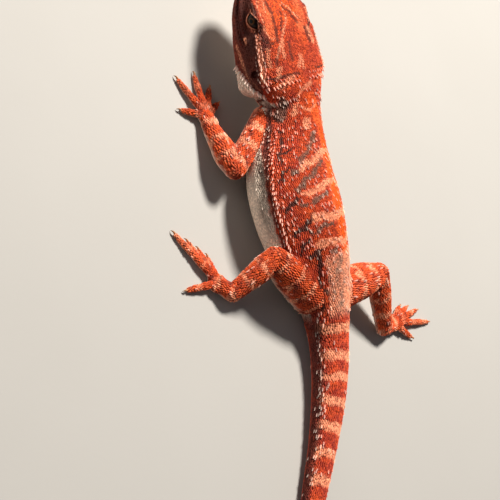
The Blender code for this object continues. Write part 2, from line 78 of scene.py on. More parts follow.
# The body's plan, with the same named sizes as the solids. A section of the head: millimetres from
# the snout, half width, height above and below its middle, the squareness of its upper and lower
# half, and its lean in degrees. A section of the body: its middle, then the same.
EYE_RADIUS = 4.4
JOINT_GAP = 0.3
JOWL_POINT = (-15.6, 54.0, 24.5)
JOWL_FROM_SNOUT = 50.0
HEAD_YAW = 17.5
HEAD_PITCH = 3.0
HEAD_SECTIONS = (
    (0.0, 1.6, 1.8, 1.3, 2.0, 2.0, -9.0),
    (1.4, 6.2, 5.4, 3.8, 2.2, 2.0, -9.0),
    (4.8, 9.9, 8.0, 5.4, 2.3, 2.0, -9.0),
    (9.6, 13.6, 10.0, 6.8, 2.6, 2.0, -9.0),
    (15.4, 17.0, 12.4, 8.2, 3.0, 2.0, -9.0),
    (22.5, 19.3, 14.4, 10.0, 3.1, 2.0, -9.0),
    (29.0, 20.8, 15.2, 11.8, 3.0, 2.1, -9.0),
    (36.0, 21.4, 15.4, 13.4, 2.7, 2.2, -8.0),
    (43.0, 22.0, 15.0, 14.6, 2.5, 2.2, -7.0),
    (50.0, 22.0, 14.4, 14.8, 2.4, 2.2, -5.0),
    (56.0, 18.8, 13.6, 13.6, 2.2, 2.1, -3.0),
)
BODY_SECTIONS = {
    "neck": (-12.2, 41.5, 22.8, 16.0, 13.6, 12.6, 2.0, 2.1, 0.0),
    "withers": (-11.5, 35.0, 21.2, 16.4, 14.2, 13.0, 2.0, 2.1, 3.0),
    "shoulder": (-11.2, 27.0, 19.5, 18.6, 15.6, 14.6, 1.9, 2.2, 7.0),
    "armpit": (-11.2, 17.0, 17.8, 22.6, 17.6, 16.2, 1.85, 2.3, 10.0),
    "ribs": (-11.2, 6.0, 16.6, 26.4, 19.4, 16.8, 1.8, 2.4, 12.0),
    "belly": (-8.8, -8.0, 16.0, 27.6, 20.0, 16.6, 1.8, 2.4, 12.0),
    "flank": (-5.2, -21.0, 15.2, 25.0, 19.2, 15.8, 1.8, 2.4, 11.0),
    "waist": (-0.6, -33.0, 14.2, 19.8, 16.8, 14.6, 1.9, 2.3, 8.0),
    "hips": (3.4, -44.0, 12.8, 15.8, 13.8, 13.0, 2.0, 2.2, 5.0),
    "vent": (6.0, -55.0, 10.9, 12.4, 11.4, 11.2, 2.1, 2.1, 2.0),
    "tail_base": (7.2, -65.0, 9.7, 10.2, 10.0, 10.0, 2.1, 2.1, 0.0),
    "tail_a": (6.4, -82.0, 8.7, 8.9, 8.7, 9.0, 2.1, 2.1, 0.0),
    "tail_b": (2.2, -101.0, 7.8, 7.8, 7.6, 8.1, 2.1, 2.1, 0.0),
    "tail_c": (-4.0, -120.0, 6.8, 6.7, 6.5, 7.1, 2.0, 2.0, 0.0),
    "tail_d": (-11.6, -139.0, 5.9, 5.8, 5.6, 6.2, 2.0, 2.0, 0.0),
    "tail_e": (-18.8, -159.0, 4.9, 4.8, 4.6, 5.2, 2.0, 2.0, 0.0),
    "tail_f": (-25.2, -181.0, 4.0, 3.9, 3.7, 4.3, 2.0, 2.0, 0.0),
    "tail_g": (-28.8, -206.0, 3.2, 3.1, 2.9, 3.5, 2.0, 2.0, 0.0),
    "tail_h": (-28.0, -231.0, 2.5, 2.3, 2.2, 2.8, 2.0, 2.0, 0.0),
    "tail_i": (-23.4, -253.0, 1.8, 1.5, 1.5, 2.1, 2.0, 2.0, 0.0),
    "tail_tip": (-17.6, -268.0, 1.1, 0.7, 0.7, 1.3, 2.0, 2.0, 0.0),
}
MOUTH_TURN = 75.0
MOUTH_RISE = 4.0
MOUTH_RISES_FROM = 20.0
MOUTH_END = 32.0
MOUTH_DEPTH = 0.9
LIP_RISE = 0.6
LIP_TURN = 6.0
# Swells and hollows: height, middle and reach along, then middle and reach around in degrees
RELIEF = (
    (1.9, 21.5, 8.5, 38.0, 9.0), (0.9, 11.0, 5.5, 42.0, 10.0),
    (-3.0, 22.5, 6.5, 57.0, 10.0), (0.9, 41.0, 7.0, 104.0, 18.0),
    (2.2, 50.5, 5.0, 112.0, 22.0), (-0.9, 37.0, 8.0, 66.0, 11.0),
    (-0.5, 19.0, 9.0, 0.0, 16.0), (-1.3, 112.0, 24.0, 84.0, 9.0),
)
# Folds that only the skin has
FOLDS = (
    (-0.6, 57.4, 1.2, 88.0, 20.0), (-1.2, 63.4, 1.1, 88.0, 26.0),
    (-1.1, 147.0, 10.0, 50.0, 5.0), (-0.7, 56.0, 1.4, 132.0, 26.0),
    (-0.6, 72.0, 1.8, 74.0, 14.0), (-1.0, 98.0, 7.0, 92.0, 7.0),
    (-0.8, 113.0, 4.0, 98.0, 8.0), (-0.5, 119.0, 3.0, 104.0, 10.0),
)
EYE_AT = {"along": 22.5, "side": 12.5, "up": 8.9}
EYE_SLIT = (72.0, 31.5)  # half the opening between the lids, in degrees along and up
SLIT_LIFT = 25.0  # how far the opening's middle sits over the eyeball's, in degrees
SLIT_TILT = 15.0  # how far its back corner is raised, in degrees
LID_RISE = 0.55  # the lids' thickness over the eyeball
EYE_REACH = 9.0  # how far from the eyeball's middle its lids shape the skin
SUNK_UNDER_EYE = 0.7  # how far the skin lies under the eyeball's surface in the opening
EAR_AT = (45.6, 69.0)
EAR_RADIUS = 2.0
EAR_DEPTH = 1.9
NOSTRIL_AT = (4.8, 50.0)
NOSTRIL_RADIUS = 0.75
NOSTRIL_DEPTH = 0.9
EAR_RIM = 0.15
NOSTRIL_RIM = 0.35

# The skin's columns from the top to the belly: from, to and how many. Its rings' steps follow.
SKIN_TURNS = ((0, 36, 14), (36, 104, 56), (104, 180, 31))
FACE_END = 34.0
FACE_STEP = 0.36
HEAD_STEP = 0.5
BODY_STEP = 0.95
TAIL_END_RINGS = 100

# Limbs: the joints, and radii at the root, at the middle of the first length, at its far joint, at
# the muscle of the second length and at its end. Digits: from the palm's middle to each tip.
ARM_RADII = (7.2, 5.8, 5.2, 6.2, 4.2)
LEG_RADII = (10.6, 8.8, 5.9, 5.8, 4.2)
HAND_DIGITS = (12.6, 16.0, 20.4, 21.6, 13.4)
FOOT_DIGITS = (12.4, 17.0, 23.0, 30.0, 16.8)
LIMBS = {
    "left_arm": {
        "names": ("left_upper_arm", "left_forearm", "left_hand"),
        "joints": ((-22.0, 37.0, 17.5), (-43.0, 10.5, 13.0), (-47.4, 31.0, 5.2)),
        "radii": ARM_RADII,
        "digits": HAND_DIGITS,
        "palm": (-47.8, 37.8),
        "headings": (-50.0, -20.0, 8.0, 38.0, 80.0),
    },
    "right_arm": {
        "names": ("right_upper_arm", "right_forearm", "right_hand"),
        "joints": ((-6.0, 28.0, 15.0), (15.0, 21.5, 10.0), (16.5, 43.0, 5.2)),
        "radii": ARM_RADII,
        "digits": HAND_DIGITS,
        "palm": (17.5, 49.8),
        "headings": (54.0, 28.0, 4.0, -22.0, -56.0),
    },
    "left_leg": {
        "names": ("left_thigh", "left_shin", "left_foot"),
        "joints": ((-2.0, -49.0, 12.5), (-31.0, -32.5, 19.5), (-46.5, -46.0, 5.4)),
        "radii": LEG_RADII,
        "digits": FOOT_DIGITS,
        "palm": (-52.8, -41.0),
        "headings": (13.0, 26.0, 35.0, 42.0, 100.0),
    },
    "right_leg": {
        "names": ("right_thigh", "right_shin", "right_foot"),
        "joints": ((12.0, -46.0, 12.5), (38.0, -38.5, 19.0), (52.5, -63.5, 5.4)),
        "radii": LEG_RADII,
        "digits": FOOT_DIGITS,
        "palm": (62.5, -60.5),
        "headings": (-46.0, -60.0, -73.0, -89.0, -116.0),
    },
}
CLAW_LENGTH = 2.1
CLAW_RADIUS = 0.62
CLAW_CURVE = ((0.0, 0.25, 1.0), (0.4, 0.45, 0.85), (0.75, 0.05, 0.5), (1.0, -0.7, 0.15))
PALM_RADII = (5.4, 4.9, 2.9)
PALM_HEIGHT = 3.0
DIGIT_RADIUS = 1.55
# Along a digit: share of its length, height of its middle, share of its radius
DIGIT_CURVE = (
    (0.0, 2.6, 1.15), (0.3, 2.9, 1.05), (0.42, 2.7, 1.16), (0.58, 2.2, 0.94),
    (0.70, 1.9, 1.04), (0.86, 1.4, 0.86), (1.0, 1.2, 0.70),
)
DIGIT_COAT = 0.12
VOXEL = 0.55
SOFTEN_FACTOR = 0.5
SOFTEN_PASSES = 2
# Where limbs join the trunk: how far a new vertex lies from any old one, how far the softening
# reaches, its passes and its strength
SEAM_GAP = 0.004
SEAM_REACH = (0.8, 5.0)
SEAM_PASSES = 30
SEAM_STRENGTH = 0.6
LID_PASSES = 9

FLESH = ["head", "neck", "torso", "hips", "tail_1", "tail_2", "tail_3", "tail_4"]
FLESH += [name for limb in LIMBS.values() for name in limb["names"]]


def unit(rows):
    return rows / np.maximum(np.linalg.norm(rows, axis=-1, keepdims=True), 1e-9)


def bump(value, middle, width):
    return np.exp(-(((value - middle) / width) ** 2))


def ease(value, low, high):
    """A smooth step from 0 at low to 1 at high."""
    t = np.clip((value - low) / (high - low), 0.0, 1.0)
    return t * t * (3 - 2 * t)


def from_table(value, table):
    return np.interp(value, *np.array(table, float).T)


def tree_of(points):
    """A tree that finds the nearest of the points."""
    tree = KDTree(len(points))
    for number, point in enumerate(points):
        tree.insert(point, number)
    tree.balance()
    return tree


def through(knots, rows, at):
    """A smooth curve through rows that stand at knots."""
    slopes = np.gradient(rows, knots, axis=0)
    i = np.clip(np.searchsorted(knots, at, side="right") - 1, 0, len(knots) - 2)
    span = (knots[i + 1] - knots[i])[:, None]
    t = (at - knots[i])[:, None] / span
    rise = rows[i + 1] - rows[i]
    bend = (3 - 2 * t) * t**2 * rise
    start = t * (1 - t) ** 2 * span * slopes[i]
    end = t**2 * (t - 1) * span * slopes[i + 1]
    return rows[i] + bend + start + end


def mouth_turn(along):
    rise = np.clip((along - MOUTH_RISES_FROM) / (MOUTH_END - MOUTH_RISES_FROM), 0.0, 1.0)
    return MOUTH_TURN - MOUTH_RISE * rise**2


def skin_relief(along, turn):
    """Swells, hollows, folds and lips, as heights over the plain sections."""
    degrees = np.abs(np.degrees((turn + math.pi) % (2 * math.pi) - math.pi))
    height = 0.0
    for rise, middle, length, middle_turn, width in RELIEF + FOLDS:
        height = height + rise * bump(along, middle, length) * bump(degrees, middle_turn, width)
    from_mouth = degrees - mouth_turn(along)
    mouth = np.clip((MOUTH_END - along) / 3.0, 0.0, 1.0) * np.clip(along / 1.5, 0.0, 1.0)
    lips = LIP_RISE * (bump(from_mouth, -LIP_TURN, 4.0) + bump(from_mouth, LIP_TURN, 4.0))
    groove = -MOUTH_DEPTH * bump(from_mouth, 0.0, 2.0)
    return height + mouth * (lips + groove)


class Loft:
    """Sections along a line, each a rounded shape with its own upper and lower half."""

    def __init__(self, rows, relief=None):
        self.rows = np.array(rows, float)
        steps = np.linalg.norm(np.diff(self.rows[:, :3], axis=0), axis=1)
        self.knots = np.concatenate([[0.0], np.cumsum(steps)])
        self.length = self.knots[-1]
        self.relief = relief

    def axes(self, along):
        along = np.atleast_1d(along)
        step = 0.5
        centre = through(self.knots, self.rows[:, :3], along)
        ahead = through(self.knots, self.rows[:, :3], np.minimum(along + step, self.length))
        behind = through(self.knots, self.rows[:, :3], np.maximum(along - step, 0.0))
        onward = unit(ahead - behind)
        left = unit(np.cross(onward, (0.0, 0.0, 1.0)))
        up = np.cross(left, onward)
        lean = np.radians(through(self.knots, self.rows[:, 8:9], along))
        leant_left = left * np.cos(lean) + up * np.sin(lean)
        leant_up = up * np.cos(lean) - left * np.sin(lean)
        return centre, onward, leant_left, leant_up

    def points(self, along, turn, grow=0.0):
        """Points on the surface; turn is in radians from the top, growing to the left."""
        along, turn = np.broadcast_arrays(np.asarray(along, float), np.asarray(turn, float))
        shape, along, turn = along.shape, along.ravel(), turn.ravel()
        centre, _, left, up = self.axes(along)
        size = through(self.knots, self.rows[:, 3:8], along)
        half, above, below, square_top, square_low = size.T
        sine, cosine = np.sin(turn), np.cos(turn)
        square = np.where(cosine >= 0, square_top, square_low)
        reach = (np.abs(sine) ** square + np.abs(cosine) ** square) ** (-1 / square)
        out = grow + (self.relief(along, turn) if self.relief else 0.0)
        sideways = (half * reach + out) * sine
        upward = (np.where(cosine >= 0, above, below) * reach + out) * cosine
        found = centre + left * sideways[:, None] + up * upward[:, None]
        return found.reshape(*shape, 3)

    def frames(self, along, turn, grow=0.0):
        """Points, outward normals and the way onward along the surface."""
        here = self.points(along, turn, grow)
        ahead = self.points(along + 0.3, turn, grow) - self.points(along - 0.3, turn, grow)
        around = self.points(along, turn + 0.02, grow) - self.points(along, turn - 0.02, grow)
        return here, unit(np.cross(around, ahead)), unit(ahead)

    def tube(self, rings, count, grow=0.0):
        """Vertices and triangles of the whole loft as a closed tube."""
        along = np.linspace(0.0, self.length, rings)
        turn = np.linspace(0, 2 * math.pi, count, endpoint=False)
        return closed_tube([self.points(a, turn, grow) for a in along])


def stitch(first, second):
    """Triangles between two rings of vertex numbers, where the second may have half as many."""
    count = len(second)
    if len(first) == count:
        pairs = [(i, (i + 1) % count) for i in range(count)]
        faces = [(first[i], first[j], second[j]) for i, j in pairs]
        return faces + [(first[i], second[j], second[i]) for i, j in pairs]
    faces = []
    for i in range(count):
        j = (i + 1) % count
        a, b, c = first[2 * i], first[2 * i + 1], first[(2 * i + 2) % len(first)]
        faces += [(a, b, second[i]), (b, second[j], second[i]), (b, c, second[j])]
    return faces


def closed_tube(rings):
    """Vertices and triangles of a tube through rings of points, closed at both ends."""
    starts = np.cumsum([0] + [len(ring) for ring in rings])
    numbers = [np.arange(a, b) for a, b in zip(starts, starts[1:])]
    faces = [face for a, b in zip(numbers, numbers[1:]) for face in stitch(a, b)]
    total = starts[-1]
    for middle, ring, order in ((total, numbers[0], 1), (total + 1, numbers[-1], -1)):
        faces += [(middle, a, b) for a, b in zip(np.roll(ring, -order), ring)]
    middles = np.array([rings[0].mean(axis=0), rings[-1].mean(axis=0)])
    return np.vstack([*rings, middles]), np.array(faces)


def ball(centre, radii, axes=((1, 0, 0), (0, 1, 0), (0, 0, 1)), rings=16, count=24):
    """A ball stretched along three axes, as vertices and triangles."""
    polar = np.linspace(math.pi, 0, rings + 2)[1:-1]
    turn = np.linspace(0, 2 * math.pi, count, endpoint=False)
    matrix = np.array(axes, float) * np.array(radii, float)[:, None]
    made = []
    for angle in polar:
        ring = np.sin(angle) * np.cos(turn), np.sin(angle) * np.sin(turn)
        made.append(np.stack([*ring, np.full(count, np.cos(angle))], axis=1) @ matrix + centre)
    return closed_tube(made)


def gather(shapes):
    """Several meshes as one."""
    verts, faces, start = [], [], 0
    for shape_verts, shape_faces in shapes:
        verts.append(shape_verts)
        faces.append(shape_faces + start)
        start += len(shape_verts)
    return np.vstack(verts), np.vstack(faces)


def mesh_object(name, verts, faces, smooth=True):
    """An object from vertices in millimetres and triangles."""
    mesh = bpy.data.meshes.new(name)
    mesh.vertices.add(len(verts))
    mesh.vertices.foreach_set("co", (np.asarray(verts) * MM).ravel())
    mesh.loops.add(3 * len(faces))
    mesh.loops.foreach_set("vertex_index", np.asarray(faces, np.int32).ravel())
    mesh.polygons.add(len(faces))
    mesh.polygons.foreach_set("loop_start", np.arange(0, 3 * len(faces), 3, dtype=np.int32))
    mesh.update(calc_edges=True)
    mesh.polygons.foreach_set("use_smooth", np.full(len(faces), smooth))
    made = bpy.data.objects.new(name, mesh)
    bpy.context.scene.collection.objects.link(made)
    return made


def arrays_of(thing):
    """The evaluated mesh of an object as vertices in millimetres and triangles."""
    bpy.context.view_layer.update()
    evaluated = thing.evaluated_get(bpy.context.evaluated_depsgraph_get())
    mesh = evaluated.to_mesh()
    mesh.calc_loop_triangles()
    verts = np.empty(3 * len(mesh.vertices))
    mesh.vertices.foreach_get("co", verts)
    faces = np.empty(3 * len(mesh.loop_triangles), np.int32)
    mesh.loop_triangles.foreach_get("vertices", faces)
    evaluated.to_mesh_clear()
    return verts.reshape(-1, 3) / MM, faces.reshape(-1, 3)


def neighbour_mean(verts, edges):
    """For each vertex, the middle of its neighbours."""
    total = np.zeros_like(verts)
    count = np.zeros(len(verts))
    for a, b in ((0, 1), (1, 0)):
        for axis in range(3):
            total[:, axis] += np.bincount(edges[:, a], verts[edges[:, b], axis], len(verts))
        count += np.bincount(edges[:, a], minlength=len(verts))
    return total / np.maximum(count, 1)[:, None]


def edges_of(faces):
    pairs = np.vstack([faces[:, [0, 1]], faces[:, [1, 2]], faces[:, [2, 0]]])
    return np.unique(np.sort(pairs, axis=1), axis=0)


def normals_of(verts, faces):
    corner = verts[faces]
    across = np.cross(corner[:, 1] - corner[:, 0], corner[:, 2] - corner[:, 0])
    normals = np.zeros_like(verts)
    for k in range(3):
        for axis in range(3):
            normals[:, axis] += np.bincount(faces[:, k], across[:, axis], len(verts))
    return unit(normals)


# The trunk, from snout to tail tip


def trunk_loft():
    yaw, pitch = math.radians(HEAD_YAW), math.radians(HEAD_PITCH)
    back = Vector((math.sin(yaw) * math.cos(pitch), -math.cos(yaw) * math.cos(pitch), -math.sin(pitch)))
    snout = Vector(JOWL_POINT) - back * JOWL_FROM_SNOUT
    rows = [(*(snout + back * along), *shape) for along, *shape in HEAD_SECTIONS]
    return Loft(rows + list(BODY_SECTIONS.values()), skin_relief)


body = trunk_loft()
STATIONS = dict(zip(BODY_SECTIONS, body.knots[len(HEAD_SECTIONS) :]))
NAPE = body.knots[len(HEAD_SECTIONS) - 1]
TAIL_START = STATIONS["tail_base"]


def eye_frame(side):
    """The eyeball's middle, and the ways back, up and out."""
    centre, onward, left, up = (v[0] for v in body.axes(EYE_AT["along"]))
    return centre + left * side * EYE_AT["side"] + up * EYE_AT["up"], onward, up, left * side


def slit_height(across):
    """Half the height of the lids' opening, which narrows to its corners."""
    share = across / (EYE_SLIT[0] * 1.15)
    return EYE_SLIT[1] * np.sqrt(np.clip(1.04 - share**2, 0.05, 1.04))


def slit(along_angle, up_angle):
    """How far out a direction lies in the lids' opening: 1 is the rim."""
    tilt = math.radians(SLIT_TILT)
    lifted = up_angle - SLIT_LIFT
    across = along_angle * math.cos(tilt) + lifted * math.sin(tilt)
    over = lifted * math.cos(tilt) - along_angle * math.sin(tilt)
    return np.hypot(across / EYE_SLIT[0], over / slit_height(across))


def opening(way, onward, up, out):
    """How far out directions from the eyeball's middle lie in the lids' opening."""
    least, far = 0.05, 9.0
    outward = np.maximum(way @ out, least)
    along_angle = np.degrees(np.arctan2(way @ onward, outward))
    up_angle = np.degrees(np.arctan2(way @ up, outward))
    return np.where(way @ out > least, slit(along_angle, up_angle), far)


def seen_from_eye(points, side):
    """Each point's distance and way from the eyeball's middle, and its measure in the opening."""
    centre, onward, up, out = eye_frame(side)
    offset = points - centre
    distance = np.linalg.norm(offset, axis=-1)
    way = offset / distance[..., None]
    return distance, way, opening(way, onward, up, out)


def shape_eye(points, side):
    """Draws the skin over the eyeball as lids, and under it in their opening."""
    centre, _, up, out = eye_frame(side)
    distance, way, open_by = seen_from_eye(points, side)
    outward = way @ out
    lid = EYE_RADIUS + LID_RISE + 0.25 * bump(open_by, 1.12, 0.16)
    lid = lid - 0.2 * bump(open_by, 1.6, 0.2)
    above = ease(way @ up, 0.3, 0.6)
    hold = (1 - ease(open_by, 1.15, 1.9 - 0.5 * above)) * (1 - ease(distance, 6.5, EYE_REACH))
    shaped = np.maximum(distance, lid) - np.maximum(distance - lid, 0) * hold
    shaped = np.where(open_by < 1.0, EYE_RADIUS - SUNK_UNDER_EYE, shaped)
    shaped = np.where(outward > 0.12, shaped, np.maximum(distance, EYE_RADIUS + 0.3))
    shaped = np.where(distance < EYE_REACH, shaped, distance)
    return centre + way * shaped[..., None]


def shape_pit(points, at, radius, depth, rim):
    """Sinks a round pit with a raised rim."""
    for side in SIDES:
        spot = np.array([at[0]]), np.array([math.radians(at[1] * side)])
        middle, out, _ = body.frames(*spot, -COAT)
        away = np.linalg.norm(points - middle[0], axis=-1)
        sink = -depth * (1 - ease(away, radius * 0.55, radius * 1.05))
        rise = rim * bump(away, radius * 1.3, radius * 0.35)
        points = points + out[0] * (sink + rise)[..., None]
    return points


def trunk_skin():
    """The skin of head, body and tail, with finer rings towards the face."""
    columns = [np.linspace(*span, endpoint=span[1] == 180) for span in SKIN_TURNS]
    half = np.concatenate(columns)
    turn = np.radians(np.concatenate([half, 360 - half[-2:0:-1]]))
    tail_end = STATIONS["tail_f"]
    spans = (
        (np.arange(0.0, FACE_END, FACE_STEP), 1),
        (np.arange(FACE_END, NAPE, HEAD_STEP), 1),
        (np.arange(NAPE, TAIL_START, BODY_STEP), 2),
        (np.arange(TAIL_START, tail_end, BODY_STEP), 4),
        (np.linspace(tail_end, body.length, TAIL_END_RINGS), 8),
    )
    rings = []
    for alongs, skip in spans:
        grid = body.points(alongs[:, None], turn[None, ::skip], -COAT)
        if alongs[0] < NAPE:
            grid = shape_pit(grid, EAR_AT, EAR_RADIUS, EAR_DEPTH, EAR_RIM)
            grid = shape_pit(grid, NOSTRIL_AT, NOSTRIL_RADIUS, NOSTRIL_DEPTH, NOSTRIL_RIM)
            for side in SIDES:
                grid = shape_eye(grid, side)
        rings += list(grid)
    return closed_tube(rings)


# Limbs


def straight_loft(start, end, radii):
    shares = np.linspace(0, 1, len(radii))
    start, end = np.array(start, float), np.array(end, float)
    spots = [start + (end - start) * share for share in shares]
    return Loft([(*spot, r, r, r, 2.0, 2.0, 0.0) for spot, r in zip(spots, radii)])


def digit_loft(palm, heading, length):
    angle = math.radians(heading)
    way = np.array([-math.sin(angle), math.cos(angle)])
    rows = []
    for share, height, thick in DIGIT_CURVE:
        x, y = np.array(palm) + way * length * share
        radius = DIGIT_RADIUS * thick
        rows.append((x, y, height, radius, radius * 0.95, radius, 2.0, 2.0, 0.0))
    return Loft(rows)


def claw_loft(digit):
    """A curved nail that carries on from a digit's end."""
    tip, onward, _, _ = (v[0] for v in digit.axes(digit.length))
    way = unit(np.array([onward[0], onward[1], 0.0]))
    root = tip + way * JOINT_GAP
    rows = []
    for share, lift, thick in CLAW_CURVE:
        point = root + way * CLAW_LENGTH * share + np.array([0, 0, lift])
        thickness = max(CLAW_RADIUS * thick, 0.08)
        rows.append((*point, thickness * 0.8, thickness, thickness, 2.0, 2.0, 0.0))
    return Loft(rows)


def limb_lofts(limb):
    """The lengths of a limb as lofts: upper, lower, wrist and the digits."""
    root, bend, end = limb["joints"]
    at_root, at_middle, at_bend, at_muscle, at_end = limb["radii"]
    sole = (*limb["palm"], PALM_HEIGHT)
    upper = straight_loft(root, bend, (at_root, (at_root + at_middle) / 2, at_middle, at_bend))
    lower = straight_loft(bend, end, (at_bend, at_muscle, (at_muscle + at_end) / 2, at_end))
    wrist = straight_loft(end, sole, (at_end, at_end * 0.95, at_end * 0.8))
    digits = [digit_loft(limb["palm"], *sizes) for sizes in zip(limb["headings"], limb["digits"])]
    return upper, lower, wrist, digits


def limb_skin(limb):
    """One smooth skin over a limb, its joints, its palm and its digits."""
    upper, lower, wrist, digits = limb_lofts(limb)
    _, bend, end = (np.array(p) for p in limb["joints"])
    sole = np.array((*limb["palm"], PALM_HEIGHT))
    way = unit(sole - end)
    side = unit(np.cross((0, 0, 1), way))
    shapes = [upper.tube(30, 32, -COAT), lower.tube(30, 28, -COAT), wrist.tube(10, 20, -COAT)]
    for middle, number in ((bend, 2), (end, 4)):
        shapes.append(ball(middle, (limb["radii"][number] - COAT,) * 3))
    shapes.append(ball(sole, np.array(PALM_RADII) - COAT, (way, side, np.cross(way, side))))
    shapes += [digit.tube(40, 16, -DIGIT_COAT) for digit in digits]
    rough = mesh_object("rough_limb", *gather(shapes))
    remesh = rough.modifiers.new("one_skin", "REMESH")
    remesh.mode = "VOXEL"
    remesh.voxel_size = VOXEL * MM
    soften = rough.modifiers.new("soften", "SMOOTH")
    soften.factor = SOFTEN_FACTOR
    soften.iterations = SOFTEN_PASSES
    made = arrays_of(rough)
    bpy.data.objects.remove(rough)
    return made


def soften_lids(verts, edges):
    """Evens the skin round the eyes and keeps it outside the eyeballs."""
    least = EYE_RADIUS + 0.35
    for side in SIDES:
        distance, _, open_by = seen_from_eye(verts, side)
        round_eye = (distance > EYE_RADIUS + 0.1) & (distance < 10.0) & (open_by > 1.02)
        weight = (round_eye * (0.25 + 0.55 * ease(open_by, 1.1, 1.6)))[:, None]
        for _ in range(LID_PASSES):
            verts = verts + (neighbour_mean(verts, edges) - verts) * weight
        centre = eye_frame(side)[0]
        offset = verts - centre
        distance = np.linalg.norm(offset, axis=1)
        wanted = np.where(round_eye & (distance < least), least, distance)
        verts = centre + offset * (wanted / distance)[:, None]
    return verts


def whole_skin():
    """Trunk and limbs as one surface, softened where they meet."""
    trunk = mesh_object("skin", *trunk_skin())
    limbs = bpy.data.collections.new("limb_tools")
    bpy.context.scene.collection.children.link(limbs)
    known = [arrays_of(trunk)[0]]
    for name, limb in LIMBS.items():
        verts, faces = limb_skin(limb)
        tool = mesh_object(name, verts, faces)
        bpy.context.scene.collection.objects.unlink(tool)
        limbs.objects.link(tool)
        known.append(verts)
    join = trunk.modifiers.new("join", "BOOLEAN")
    join.operation = "UNION"
    join.operand_type = "COLLECTION"
    join.collection = limbs
    join.solver = "MANIFOLD"
    verts, faces = arrays_of(trunk)
    for tool in list(limbs.objects) + [trunk]:
        bpy.data.objects.remove(tool)
    bpy.data.collections.remove(limbs)
    before = tree_of(np.vstack(known))
    gap = np.array([before.find(point)[2] for point in verts])
    seam = tree_of(verts[gap > SEAM_GAP])
    away = np.array([seam.find(point)[2] for point in verts])
    weight = (1 - ease(away, *SEAM_REACH))[:, None]
    edges = edges_of(faces)
    for _ in range(SEAM_PASSES):
        verts = verts + (neighbour_mean(verts, edges) - verts) * weight * SEAM_STRENGTH
    verts = soften_lids(verts, edges)
    verts[:, 2] = np.maximum(verts[:, 2], FLOOR_ROOM)
    return verts, faces


# Where every point of the skin lies on its own part: the coordinates that markings are drawn in


class Place:
    """Points with the part they lie on, how far along it, how far around and the ways there."""

    def __init__(self, points, part, along, turn, normal, back):
        self.points = points
        self.part = np.broadcast_to(part, along.shape)
        self.along = along
        self.turn = turn
        self.normal = normal
        self.back = back

    def pick(self, keep):
        return Place(*(getattr(self, key)[keep] for key in PLACE_KEYS))

    def degrees(self):
        return (np.degrees(self.turn) + 180) % 360 - 180


PLACE_KEYS = ("points", "part", "along", "turn", "normal", "back")


def merge(places):
    return Place(*(np.concatenate([getattr(p, key) for p in places]) for key in PLACE_KEYS))


def all_parts():
    """Every part's loft and where its length starts on the limb's own measure."""
    parts = [{"name": "trunk", "loft": body, "start": 0.0, "kind": "trunk"}]
    for name, limb in LIMBS.items():
        upper, lower, wrist, digits = limb_lofts(limb)
        start = 0.0
        for kind, loft in (("upper", upper), ("lower", lower), ("wrist", wrist)):
            parts.append({"name": name, "loft": loft, "start": start, "kind": kind})
            start += loft.length
        for number, digit in enumerate(digits):
            parts.append({"name": name, "loft": digit, "start": start, "kind": f"digit{number}"})
    return parts


PARTS = all_parts()
KIND = np.array([part["kind"][:5] for part in PARTS])


def samples():
    """Points all over the lofts, to find the nearest part of any point."""
    places = []
    for number, part in enumerate(PARTS):
        loft = part["loft"]
        step, turn_step = (1.0, 3.0) if loft is body else (0.8, 15.0)
        along = np.arange(0.3, loft.length, step)
        turn = np.radians(np.arange(-180, 180, turn_step))
        along, turn = (grid.ravel() for grid in np.meshgrid(along, turn, indexing="ij"))
        places.append(place_on(number, along, turn))
    return merge(places)


def place_on(number, along, turn):
    points, normal, back = PARTS[number]["loft"].frames(along, turn, -COAT)
    return Place(points, number, along, turn, normal, back)


known = samples()
known_tree = tree_of(known.points)


def laid(ways, normals):
    """Ways turned to lie flat on the skin."""
    return unit(ways - normals * (ways * normals).sum(axis=1)[:, None])


def nearest_place(points, normals):
    """Finds each point's part, and its measure along and around it."""
    number = np.array([known_tree.find(point)[1] for point in points])
    at = known.pick(number)
    offset = points - at.points
    sideways = np.cross(at.back, at.normal)
    radius = np.ones(len(points))
    for part, thing in enumerate(PARTS):
        here = at.part == part
        if here.any():
            centre = thing["loft"].axes(at.along[here])[0]
            radius[here] = np.linalg.norm(at.points[here] - centre, axis=1)
    along = at.along + np.clip((offset * at.back).sum(axis=1), -2, 2)
    turn = at.turn - np.clip((offset * sideways).sum(axis=1) / radius, -0.2, 0.2)
    return Place(points, at.part, along, turn, normals, laid(at.back, normals))


# Markings

# The markings' midline: along, degrees
MIDLINE = (
    (0, -4), (20, -3), (31, 8), (50, 7), (62, -10), (76, -24), (91, -20), (106, -15),
    (118, -13), (130, -12), (140, -12), (151, -10), (173, -5), (200, 0), (400, 0),
)
FRINGE_TURN = 74.0
# Millimetres for a degree around the body and around the head
BODY_DEGREE = 0.4
HEAD_DEGREE = 0.33
